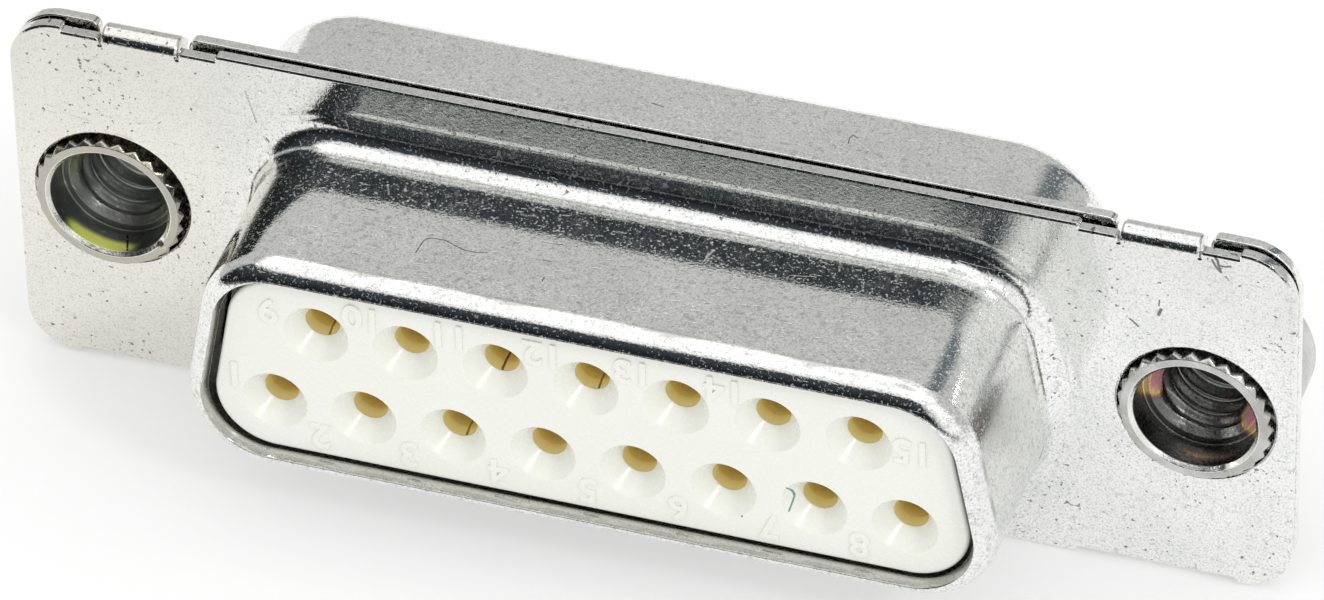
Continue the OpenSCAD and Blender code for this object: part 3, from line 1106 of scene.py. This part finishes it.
def make_scratches():
    """Fine lines: a noise drawn out along one direction, of which only the highest part is kept."""
    group, given, result = new_group(
        "fine_scratches",
        {"Place": (0, 0, 0), "Turn": (0, 0, 0), "Stretch": (150, 9000, 9000), "Keep": 0.66},
        {"Mask": 0.0},
    )
    turned_place = {"Vector": given["Place"], "Rotation": given["Turn"]}
    angled = add(group, "Mapping", turned_place, vector_type="TEXTURE").outputs[0]
    drawn = noise(group, vector_node(group, "MULTIPLY", angled, given["Stretch"]), 1.0, 1.0)
    high = math_node(group, "ADD", given["Keep"], SCRATCH_EDGE)
    group.links.new(ramp(group, drawn, given["Keep"], high), result["Mask"])
    return group


specks_group = make_specks()
flecks_group = make_flecks()
stroke_group = make_stroke()
scratches_group = make_scratches()
print("node groups:", [group.name for group in bpy.data.node_groups])

# %% [markdown]
# ### Tinned steel
# Tin over drawn sheet is bright but not a mirror. It has a fine grain that breaks up every edge of a
# reflection, dull clouds where it was handled, dark pits, and hairline scratches from the tools. The single
# marks that catch the eye are placed one by one, each as a width and the points of its line.

# %% Marks on the shells
top_up = shroud_h / 2
back_up = back_h / 2
forked_hair = [(-5.28, -3.30), (-4.93, -3.30), (-4.57, -3.45)]
forked_hair += [(-4.28, -3.55), (-3.93, -3.55), (-3.62, -3.46)]
hair_fork = [(-5.28, -3.30), (-5.46, -3.35), (-5.55, -3.48), (-5.60, -4.05)]
dark_marks = [
    (0.026, [(x, y, top_up) for x, y in forked_hair]),
    (0.026, [(x, y, top_up) for x, y in hair_fork]),
    (0.030, [(-1.70, -4.03, top_up), (-1.70, -4.20, top_up)]),
    (0.022, [(-1.98, -3.30, top_up), (-1.70, -3.33, top_up)]),
    (0.025, [(-0.61, 2.71, back_up), (-0.22, 2.64, back_up)]),
    (0.025, [(5.4, 2.6, back_up), (5.37, 2.85, back_up), (5.43, 3.0, back_up), (5.6, 2.9, back_up)]),
    (0.035, [(7.95, 3.35, back_up)]),
    (0.060, [(17.08, 0, 6.16), (17.24, 0, 5.92), (17.27, 0, 5.75), (17.34, 0, 5.52)]),
    (0.050, [(17.27, 0, 5.75), (17.47, 0, 5.75), (17.62, 0, 5.80)]),
    (0.055, [(17.08, 0, 5.91), (17.19, 0, 5.69), (17.34, 0, 5.52)]),
    (0.035, [(15.53, 0, 4.02), (15.52, 0, 3.81)]),
    (0.075, [(15.58, 0, 3.68), (15.51, 0, 3.47)]),
    (0.045, [(14.66, 0, 3.10), (14.77, 0, 3.02), (14.91, 0, 2.88)]),
    (0.055, [(12.85, 0, 3.22)]),
    (0.050, [(13.04, 0, 3.12)]),
    (0.050, [(14.46, 0, 3.44)]),
]
light_marks = [
    (0.040, [(5.95, 0, 5.1), (5.8, 0, 4.65), (5.6, 0, 4.15)]),
    (0.055, [(-6.1, 0, 4.5), (-6.05, 0, 4.35)]),
    (0.045, [(-5.8, 0, 5.25), (-5.75, 0, 5.15)]),
    (0.040, [(-4.45, 0, 4.55), (-4.4, 0, 4.8), (-4.3, 0, 4.5)]),
    (0.050, [(-9.15, 0, 4.8), (-9.1, 0, 4.65)]),
    (0.055, [(3.6, 0, 4.7)]),
    (0.070, [(7.1, 0, 4.95)]),
    (0.045, [(7.95, 0, 4.85), (8.0, 0, 4.65)]),
    (0.040, [(-8.3, 0, 5.85)]),
    (0.040, [(-6.0, 0, 5.9), (-5.95, 0, 5.8)]),
    (0.050, [(-7.35, -1.45, top_up), (-7.2, -1.8, top_up)]),
    (0.045, [(2.5, -1.85, top_up), (2.6, -1.5, top_up)]),
    (0.060, [(2.45, -1.2, top_up)]),
    (0.055, [(3.6, -1.15, top_up), (3.7, -1.13, top_up)]),
    (0.050, [(1.85, -1.5, top_up)]),
    (0.030, [(-12.2, 0, 5.2), (-11.9, 0, 4.1)]),
    (0.030, [(-11.7, 0, 3.6), (-11.2, 0, 2.9)]),
]
print(len(dark_marks), "dark and", len(light_marks), "light marks")


# %% The bow in the flange
crease_up = 5.07
crease_w = 0.16
crease_lean = math.radians(6.0)
upper_lean = math.radians(3.6)
crease_ends = (11.0, 8.5)


def crease(tree, spot):
    """The height, in millimetres, of the bow that the draw leaves in the flange above the shroud: level up
    to a crease, steep across it, and leaning forwards from there to the upper edge. It is shading only."""
    level = [crease_up, crease_up + crease_w, flange_h / 2]
    height = 0.0
    for low, high, lean in zip(level, level[1:], (crease_lean, upper_lean)):
        ends = {"From Min": low * MM, "From Max": high * MM, "To Max": (high - low) * math.tan(lean)}
        rise = add(tree, "MapRange", {"Value": spot["Z"], **ends}).outputs["Result"]
        height = math_node(tree, "ADD", rise, height)
    in_front = ramp(tree, spot["Y"], 0.3 * front_t * MM, 0.1 * front_t * MM)
    on_face = ramp(tree, spot["Y"], -0.2 * front_t * MM, -0.1 * front_t * MM)
    end, full = np.multiply(crease_ends, MM).tolist()
    inward = ramp(tree, math_node(tree, "ABSOLUTE", spot["X"]), end, full)
    return product(tree, height, inward, in_front, on_face)


print("the crease starts", crease_up, "mm up and is", crease_w, "mm wide")

# %% Tinned steel
TIN_BRIGHT = (0.96, 0.965, 0.945, 1)
TIN_CLOUD = (0.88, 0.89, 0.87, 1)
TIN_GRAIN = (0.42, 0.42, 0.41, 1)
TIN_MOTTLE = (0.46, 0.46, 0.45, 1)
TIN_WARM = (0.76, 0.74, 0.65, 1)
# Painted shade, greyer towards the flange's upper edge
TIN_UPPER_SHADE = (0.45, 0.45, 0.43, 1)
TIN_LINE = (0.45, 0.45, 0.45, 1)
TIN_PIT = (0.13, 0.13, 0.13, 1)
TIN_HAIR = (0.14, 0.14, 0.14, 1)
# Bare steel on the lip's cut end, and painted shade on the shroud's inner wall
TIN_CUT_EDGE_AND_SHADE = (0.50, 0.495, 0.46, 1)
tin_relief = 4.0e-6


def tinned_steel():
    """Bright tin: colour, roughness and bump all follow the same grain, clouds, flecks and scratches. It is
    calmer on the right, warmer on the left and duller on the shroud's right flank. Painted shade makes it
    greyer up the flange and darker inside the shroud, where the lip's cut end is also bare steel."""
    material, tree, shader, place = new_material("tinned_steel")
    facets = noise(tree, place, 9000.0, 2.0, 0.6)
    grain = noise(tree, place, 14000.0, 2.0, 0.6)
    cloud = noise(tree, place, 420.0, 5.0, 0.6)
    mottle = noise(tree, place, 4500.0, 3.0, 0.7)
    inside = painted(tree, "inside")
    worn = place_group(tree, flecks_group, {"Place": place, "Scale": 12000.0, "Keep": 0.59})
    along = place_group(tree, scratches_group, {"Place": place, "Turn": (0, 0.15, 0.1), "Keep": 0.70})
    across = place_group(tree, scratches_group, {"Place": place, "Turn": (0, 1.1, 0.9), "Keep": 0.72})
    lines = math_node(tree, "MAXIMUM", along, across)
    hairs = strokes(tree, place, dark_marks)
    scuffs = strokes(tree, place, light_marks)
    spot = parts_of(tree, place)
    busy = ramp(tree, spot["X"], 9.0 * MM, 14.0 * MM, 0.6, 0.48)
    warm = ramp(tree, spot["X"], -8.0 * MM, -16.0 * MM, 0.0, 0.55)
    on_flange = ramp(tree, math_node(tree, "ABSOLUTE", spot["Y"]), 0.6 * MM, 0.3 * MM)
    # Painted shade: the flange turns greyer towards its upper edge
    upper = product(tree, on_flange, ramp(tree, spot["Z"], 1.0 * MM, 6.0 * MM, 0.0, 0.24))
    right = ramp(tree, spot["X"], 10.5 * MM, 12.2 * MM)
    on_flank = product(tree, right, ramp(tree, spot["Y"], -0.5 * MM, -1.0 * MM))
    pits = {"Place": place, "Scale": 5500.0, "Keep": 0.655, "Gather": 0.3}
    pits = product(tree, place_group(tree, flecks_group, pits), ramp(tree, on_flange, 0.0, 1.0, 0.3, 1.0))
    layers = [
        (ramp(tree, grain, 0.55, 0.30, 0.0, busy), TIN_GRAIN),
        (ramp(tree, mottle, 0.48, 0.30, 0.0, busy), TIN_MOTTLE),
        (warm, TIN_WARM),
        (upper, TIN_UPPER_SHADE),
        (product(tree, lines, 0.25), TIN_LINE),
        (product(tree, pits, 0.85), TIN_PIT),
        (product(tree, hairs, 0.9), TIN_HAIR),
        # The cut end's bare steel and the painted shade inside the shroud
        (product(tree, inside, 0.85), TIN_CUT_EDGE_AND_SHADE),
    ]
    tone = overlay(tree, blend(tree, ramp(tree, cloud, 0.35, 0.7), TIN_BRIGHT, TIN_CLOUD), layers)
    dull = [(worn, 0.40), (scuffs, 0.25), (on_flank, 0.28), (inside, 0.05)]
    rough = math_node(tree, "MINIMUM", add_up(tree, ramp(tree, cloud, 0.3, 0.75, 0.03, 0.05), dull), 1.0)
    height = add_up(tree, facets, [(lines, -0.6), (pits, -0.8), (scuffs, -2.0)])
    normal = bump(tree, height, tin_relief, Normal=bump(tree, crease(tree, spot), MM))
    dress(tree, shader, {"Base Color": tone, "Roughness": rough, "Normal": normal, "Metallic": 1.0})
    return material


steel = tinned_steel()
for shell in (front_shell, rear_shell):
    shell.data.materials.append(steel)
print("finish:", steel.name)

# %% [markdown]
# ### The off-white moulding
# Glass-filled polyester, moulded semi-gloss. It carries a few dark specks from the moulding and one thin
# fibre, and its skin has the very fine roughness of the tool.

# %% Off-white moulding
IVORY_WARM = (0.84, 0.85, 0.785, 1)
IVORY_PALE = (0.875, 0.885, 0.83, 1)
IVORY_SPECK = (0.10, 0.10, 0.11, 1)
FIBRE_TEAL = (0.14, 0.28, 0.30, 1)
ivory_relief = 1.0e-6
fibre_w = 0.035
face_marks = [
    (0.045, [(-6.44, -face_reach, -2.03)]),
    (0.040, [(0.64, -face_reach, 0.73)]),
    (0.045, [(4.67, -face_reach, -2.28)]),
]
fibre = [(6.04, 0, -0.83), (6.10, 0, -1.10), (6.15, 0, -1.43), (6.11, 0, -1.62), (6.06, 0, -1.83)]


def ivory_plastic():
    """Semi-gloss off-white plastic with faint clouds, tiny specks and the tool's fine texture. The fibre is
    drawn on the plan of the face, and shows only as deep as the funnels go."""
    material, tree, shader, place = new_material("off_white_moulding")
    skin = noise(tree, place, 9000.0, 2.0)
    cloud = noise(tree, place, 300.0, 3.0)
    specks = place_group(tree, specks_group, {"Place": place, "Scale": 520.0, "Share": 0.05, "Size": 0.07})
    specks = math_node(tree, "MAXIMUM", specks, strokes(tree, place, face_marks))
    plan = vector_node(tree, "MULTIPLY", place, (1, 0, 1))
    in_front = ramp(tree, parts_of(tree, place)["Y"], -entry_end * MM, -funnel_end * MM)
    lint = product(tree, strokes(tree, plan, [(fibre_w, fibre)]), in_front)
    tone = blend(tree, cloud, IVORY_WARM, IVORY_PALE)
    tone = overlay(tree, tone, [(specks, IVORY_SPECK), (lint, FIBRE_TEAL)])
    rough = ramp(tree, skin, 0.3, 0.7, 0.20, 0.30)
    normal = bump(tree, skin, ivory_relief)
    dress(tree, shader, {"Base Color": tone, "Roughness": rough, "Normal": normal, "IOR": 1.5})
    return material


ivory = ivory_plastic()
for moulding in (front_insulator, rear_insulator, numbers):
    moulding.data.materials.append(ivory)
print("finish:", ivory.name)

# %% [markdown]
# ### Gold and passivated zinc
# The contacts have a thin gold layer with turning marks, brighter behind than in the bores. In the bores the
# gold's tone is painted light: lighter on the lead-in cone, orange behind it, and painted shade furthest in.
# The inserts are zinc plated and passivated, which leaves a skin thin enough to show colours: green and
# yellow in some places, pink in others. Their bores are painted dark for the dim room they reflect, with
# painted highlights on the thread's crests and the mouth.

# %% Gold plating
GOLD_PLAIN = ((0.98, 0.77, 0.35, 1), (0.93, 0.68, 0.27, 1))
# The bore's tones are painted light: lighter on the cone, orange behind it, painted shade furthest in
GOLD_CONE_LIT = ((1.0, 0.87, 0.40, 1), (1.0, 0.81, 0.32, 1))
GOLD_BORE_SHADE = (1.0, 0.77, 0.25, 1)
GOLD_DEEP_SHADE = (0.16, 0.09, 0.03, 1)
bore_zone = (1.0, 0.5)
shade_zone = (0.90, 1.00)
gold_rings = (300, 14000, 300)
gold_relief = 2.0e-6


def gold_plate():
    """Satin gold with turning rings along the axis: plain behind the flange, and in the bore painted light in
    bands:
    a lighter tone on the lead-in cone, an orange one behind it, and painted shade furthest in, from a depth
    given in millimetres from the front."""
    material, tree, shader, place = new_material("gold_plate")
    marks = noise(tree, vector_node(tree, "MULTIPLY", place, gold_rings), 1.0, 2.0)
    cloud = noise(tree, place, 1500.0, 3.0)
    depth = parts_of(tree, place)["Y"]
    in_bore = ramp(tree, depth, bore_zone[0] * MM, bore_zone[1] * MM)
    # Painted light in the bore: an orange band behind the lead-in cone, then painted shade furthest in
    deeper_shade = ramp(tree, depth, -lead_in_end * MM, (lead_in_edge - lead_in_end) * MM, 0.0, in_bore)
    shade_from, shade_full = [(back - socket_front) * MM for back in shade_zone]
    deepest_shade = ramp(tree, depth, shade_from, shade_full, 0.0, in_bore)
    tone = blend(tree, in_bore, blend(tree, cloud, *GOLD_PLAIN), blend(tree, cloud, *GOLD_CONE_LIT))
    tone = overlay(tree, tone, [(deeper_shade, GOLD_BORE_SHADE), (deepest_shade, GOLD_DEEP_SHADE)])
    satin = ramp(tree, in_bore, 0.0, 1.0, 0.24, 0.55)
    rough = math_node(tree, "ADD", satin, ramp(tree, marks, 0.3, 0.7, 0.0, 0.16))
    metallic = ramp(tree, depth, -socket_front * MM, 0.0, 0.0, 0.9)
    normal = bump(tree, marks, gold_relief)
    dress(tree, shader, {"Base Color": tone, "Roughness": rough, "Normal": normal, "Metallic": metallic})
    return material


gold = gold_plate()
for contact in contacts:
    contact.data.materials.append(gold)
print("finish:", gold.name)

# %% Passivated zinc
# The middle stops are painted shade, the dark grey of a bore that reflects a dim room; the ends are the
# film's own colours
FILM_AND_BORE_SHADE_COLOURS = [
    (0.0, (0.80, 0.34, 0.42, 1)),
    (0.12, (0.80, 0.62, 0.20, 1)),
    (0.24, (0.34, 0.22, 0.20, 1)),
    (0.38, (0.25, 0.245, 0.24, 1)),
    (0.65, (0.23, 0.25, 0.235, 1)),
    (1.0, (0.95, 1.0, 0.22, 1)),
]
ZINC_LEFT = (0.52, 0.495, 0.41, 1)
ZINC_RIGHT = (0.64, 0.65, 0.64, 1)
ZINC_CLOUD = (0.47, 0.465, 0.43, 1)
# Painted highlight on the thread's crests
ZINC_CREST_HIGHLIGHT = (0.42, 0.45, 0.41, 1)
# Painted shade in the right insert's bore
ZINC_BORE_SHADE = (0.05, 0.045, 0.04, 1)
# Painted highlight on the insert's mouth
ZINC_MOUTH_HIGHLIGHT = (0.84, 0.84, 0.80, 1)
ZINC_MARK = (0.02, 0.02, 0.02, 1)
ZINC_WEAR = (0.75, 0.74, 0.70, 1)
zinc_relief = 1.0e-5
bore_marks = [(0.045, [(-16.44, 0.58, -1.83), (-16.21, -0.09, -1.78), (-16.12, -0.20, -1.88)])]


def film_colour(tree, film):
    """The colour of the skin for a film from -1, pink, to 1, green. Where there is little film it is the
    bore's painted shade, a dark grey.
    """
    tint = add(tree, "ValToRGB", {"Fac": ramp(tree, film, -1.0, 1.0)})
    stops = tint.color_ramp.elements
    stops[0].color = FILM_AND_BORE_SHADE_COLOURS[0][1]
    stops[1].color = FILM_AND_BORE_SHADE_COLOURS[-1][1]
    for position, colour in FILM_AND_BORE_SHADE_COLOURS[1:-1]:
        stops.new(position).color = colour
    return tint.outputs[0]


def passivated_zinc():
    """Zinc under a thin passivated skin: pale outside, and in the bore painted dark for the dim room that it
    reflects, with patches of film colours. Lighter thread crests and a pale mouth are painted highlights, and
    the right insert's bore gets more painted shade where the film is thin."""
    material, tree, shader, place = new_material("passivated_zinc")
    grain = noise(tree, place, 9000.0, 3.0)
    cloud = noise(tree, place, 700.0, 3.0)
    bore = painted(tree, "bore")
    film = painted(tree, "film")
    shift = product(tree, math_node(tree, "SUBTRACT", cloud, 0.5), 0.6)
    tint = film_colour(tree, math_node(tree, "ADD", film, shift))
    side = ramp(tree, parts_of(tree, place)["X"], -1.0 * MM, 1.0 * MM)
    outside = blend(tree, side, ZINC_LEFT, ZINC_RIGHT)
    outside = blend(tree, ramp(tree, cloud, 0.35, 0.65), outside, ZINC_CLOUD)
    # Painted highlight: a lighter colour on the thread's crests
    ridges = ramp(tree, painted(tree, "crest"), 0.5, 1.0, 0.0, 0.7)
    tinted = math_node(tree, "ABSOLUTE", film)
    # Painted shade: the right insert's bore is darker where the film is thin
    painted_bore_shade = product(tree, bore, side, ramp(tree, tinted, 0.2, 0.6, 0.4, 0.0))
    wear = place_group(tree, scratches_group, {"Place": place, "Turn": (0.3, 0.8, 0.2), "Keep": 0.66})
    layers = [
        (painted_bore_shade, ZINC_BORE_SHADE),
        # Painted highlight: the mouth is painted pale
        (painted(tree, "mouth"), ZINC_MOUTH_HIGHLIGHT),
        (strokes(tree, place, bore_marks), ZINC_MARK),
        (product(tree, wear, 0.3), ZINC_WEAR),
    ]
    tone = overlay(tree, blend(tree, bore, outside, blend(tree, ridges, tint, ZINC_CREST_HIGHLIGHT)), layers)
    dull = product(tree, bore, ramp(tree, side, 0.0, 1.0, 0.15, 0.0))
    rough = math_node(tree, "ADD", ramp(tree, grain, 0.3, 0.7, 0.18, 0.32), dull)
    metallic = ramp(tree, tinted, 0.2, 0.9, 1.0, 0.4)
    normal = bump(tree, grain, zinc_relief)
    dress(tree, shader, {"Base Color": tone, "Roughness": rough, "Normal": normal, "Metallic": metallic})
    return material


zinc = passivated_zinc()
for insert in (left_insert, right_insert):
    insert.data.materials.append(zinc)
print("finish:", zinc.name)

# %% [markdown]
# ## Camera
# The photograph was taken with a long lens from above, in front and a little to the right. The angles come
# from matching the flange, the screw holes and the sockets of known size, and the image is 1324 by 600.

# %% Camera at the photograph's angle
camera_azimuth = math.radians(18.995)
camera_elevation = math.radians(40.6255)
camera_roll = math.radians(-1.486)
camera_distance = 335.1
camera_aim = (0.396, 0.230, 0.103)
focal_pixels = 11479
image_width = 1324
sensor_width = 36.0

level = math.cos(camera_elevation)
back = Vector(
    (math.sin(camera_azimuth) * level, -math.cos(camera_azimuth) * level, math.sin(camera_elevation))
)
right = Vector((math.cos(camera_azimuth), math.sin(camera_azimuth), 0))
axes = Matrix((right, back.cross(right), back)).transposed()
lens = bpy.data.cameras.new("photo_camera")
lens.sensor_width = sensor_width
lens.lens = focal_pixels / image_width * sensor_width
camera = bpy.data.objects.new("photo_camera", lens)
turn = axes @ Matrix.Rotation(camera_roll, 3, "Z")
place = (Vector(camera_aim) + back * camera_distance) * MM
camera.matrix_world = Matrix.Translation(place) @ turn.to_4x4()
bpy.context.scene.collection.objects.link(camera)
bpy.context.scene.camera = camera
print("lens", round(lens.lens, 1), "mm, camera at", [round(v, 4) for v in place])

# %% [markdown]
# ## Studio
# Metal shows the room it stands in. Here that is a pale floor, a white ceiling, a grey wall behind, and the
# dim side of the room where the camera stands. A broad soft lamp hangs overhead, and a small lamp to the
# right of the camera draws the bright line down each funnel. The floor and the world look white to the
# camera.

# %% Floor
floor_size = 3.0
floor_tone = 0.94
floor_glow = 0.4
floor_gap = 0.00002
table_edge = (-0.09, -0.04)
table_dark = 0.12


def floor_finish():
    """A matt pale floor, white to the camera. Seen in metal it fades out in front, where the table ends."""
    material = bpy.data.materials.new("pale_floor")
    material.use_nodes = True
    tree = material.node_tree
    tree.nodes.clear()
    path = add(tree, "LightPath").outputs
    seen = math_node(tree, "MAXIMUM", path["Is Glossy Ray"], path["Is Transmission Ray"])
    shown = math_node(tree, "MAXIMUM", seen, path["Is Camera Ray"])
    spot = parts_of(tree, add(tree, "TexCoord").outputs["Object"])
    mirrored = ramp(tree, spot["Y"], *table_edge, table_dark, 1.0)
    level = mix(tree, shown, floor_tone, mix(tree, seen, 1.0, mirrored))
    matt = add(tree, "BsdfDiffuse", {"Color": level}).outputs[0]
    lit = add(tree, "Emission", {"Color": level}).outputs[0]
    both = add(tree, "MixShader", {0: product(tree, shown, floor_glow), 1: matt, 2: lit})
    add(tree, "OutputMaterial", {"Surface": both.outputs[0]})
    return material


half = floor_size / 2
ground = cad_low.z - floor_gap
floor_mesh = bpy.data.meshes.new("floor")
floor_corners = [(-half, -half, ground), (half, -half, ground), (half, half, ground), (-half, half, ground)]
floor_mesh.from_pydata(floor_corners, [], [(0, 1, 2, 3)])
floor_mesh.materials.append(floor_finish())
floor = bpy.data.objects.new("floor", floor_mesh)
bpy.context.scene.collection.objects.link(floor)
print("floor at", round(ground / MM, 3), "mm")

# %% World and lamps
dim_rise = (0.15, 0.65)
dim_levels = (0.02, 0.06)
brow_rise = (0.680, 0.697)
brow_level = 0.50
ceiling_rise = (0.71, 0.76)
front_turn = (0.0, -0.2)
side_turn = (0.30, 0.62)
wall_level = 0.57
wall_rise = (0.72, 0.85)
gap_level = 0.18
gap_left = (0.32, 0.46)
gap_right = (0.61, 0.54)
zenith_rise = (0.970, 0.988)
zenith_level = 0.45
fill_turn = (-0.8, 0.4)
fill_levels = (0.97, 0.83)
DIM_HUE = (0.80, 0.97, 1.08, 1)
WHITE = (1, 1, 1, 1)


def studio_room(tree, way):
    """The room that metal sees. Behind is a grey wall with a darker gap in it, to the right. In front it is
    dim, turning white to the right, with a brow of half brightness over it. Above is a white ceiling, which
    is greyer straight overhead."""
    dim = ramp(tree, way["Z"], *dim_rise, *dim_levels)
    brow = ramp(tree, way["Z"], *brow_rise, 0.0, brow_level)
    over = math_node(tree, "MAXIMUM", brow, ramp(tree, way["Z"], *ceiling_rise))
    level_x = product(tree, way["X"], way["X"])
    level_y = product(tree, way["Y"], way["Y"])
    run = math_node(tree, "SQRT", math_node(tree, "ADD", level_x, level_y))
    aside = math_node(tree, "DIVIDE", way["X"], run)
    ahead = ramp(tree, math_node(tree, "DIVIDE", way["Y"], run), *front_turn)
    front = mix(tree, ramp(tree, aside, *side_turn), math_node(tree, "MAXIMUM", dim, over), 1.0)
    gap = product(tree, ramp(tree, aside, *gap_left), ramp(tree, aside, *gap_right))
    behind = ramp(tree, way["Z"], *wall_rise, mix(tree, gap, wall_level, gap_level), 1.0)
    overhead = ramp(tree, way["Z"], *zenith_rise, 1.0, zenith_level)
    return product(tree, mix(tree, ahead, behind, front), overhead)


def studio_world():
    """White to the camera, the room to metal, and to matt surfaces a soft fill that is stronger in front."""
    world = bpy.data.worlds.new("studio")
    world.use_nodes = True
    tree = world.node_tree
    tree.nodes.clear()
    way = parts_of(tree, add(tree, "TexCoord").outputs["Generated"])
    rays = add(tree, "LightPath").outputs
    even = ramp(tree, way["Y"], *fill_turn, *fill_levels)
    fill = mix(tree, rays["Is Glossy Ray"], even, studio_room(tree, way))
    shown = math_node(tree, "MAXIMUM", rays["Is Camera Ray"], rays["Is Transmission Ray"])
    level = mix(tree, shown, fill, 1.0)
    hue = blend(tree, ramp(tree, level, 0.05, 0.5), DIM_HUE, WHITE)
    glow = add(tree, "Background", {"Color": hue, "Strength": level})
    add(tree, "OutputWorld", {"Surface": glow.outputs[0]})
    world.cycles.sampling_method = "NONE"
    bpy.context.scene.world = world


def soft_lamp(name, towards, distance, width, height, radiance):
    """A flat lamp that looks at the object. Its power is radiance times pi times its area."""
    lamp = bpy.data.lights.new(name, "AREA")
    lamp.shape = "RECTANGLE"
    lamp.size = width
    lamp.size_y = height
    lamp.energy = radiance * math.pi * width * height
    holder = bpy.data.objects.new(name, lamp)
    way = Vector(towards).normalized()
    facing = way.to_track_quat("Z", "Y").to_matrix().to_4x4()
    holder.matrix_world = Matrix.Translation(way * distance) @ facing
    bpy.context.scene.collection.objects.link(holder)


studio_world()
soft_lamp("overhead_softbox", (-0.05, -0.10, 1.0), distance=0.50, width=0.70, height=0.50, radiance=0.35)
soft_lamp("side_lamp", (0.641, -0.418, 0.640), distance=0.60, width=0.08, height=0.08, radiance=26.0)
print("lamps:", [lamp.name for lamp in bpy.data.lights])

# %% [markdown]
# ## Closing
# The view is shown as rendered.

# %% Show the view as rendered
bpy.context.scene.view_settings.view_transform = "Standard"
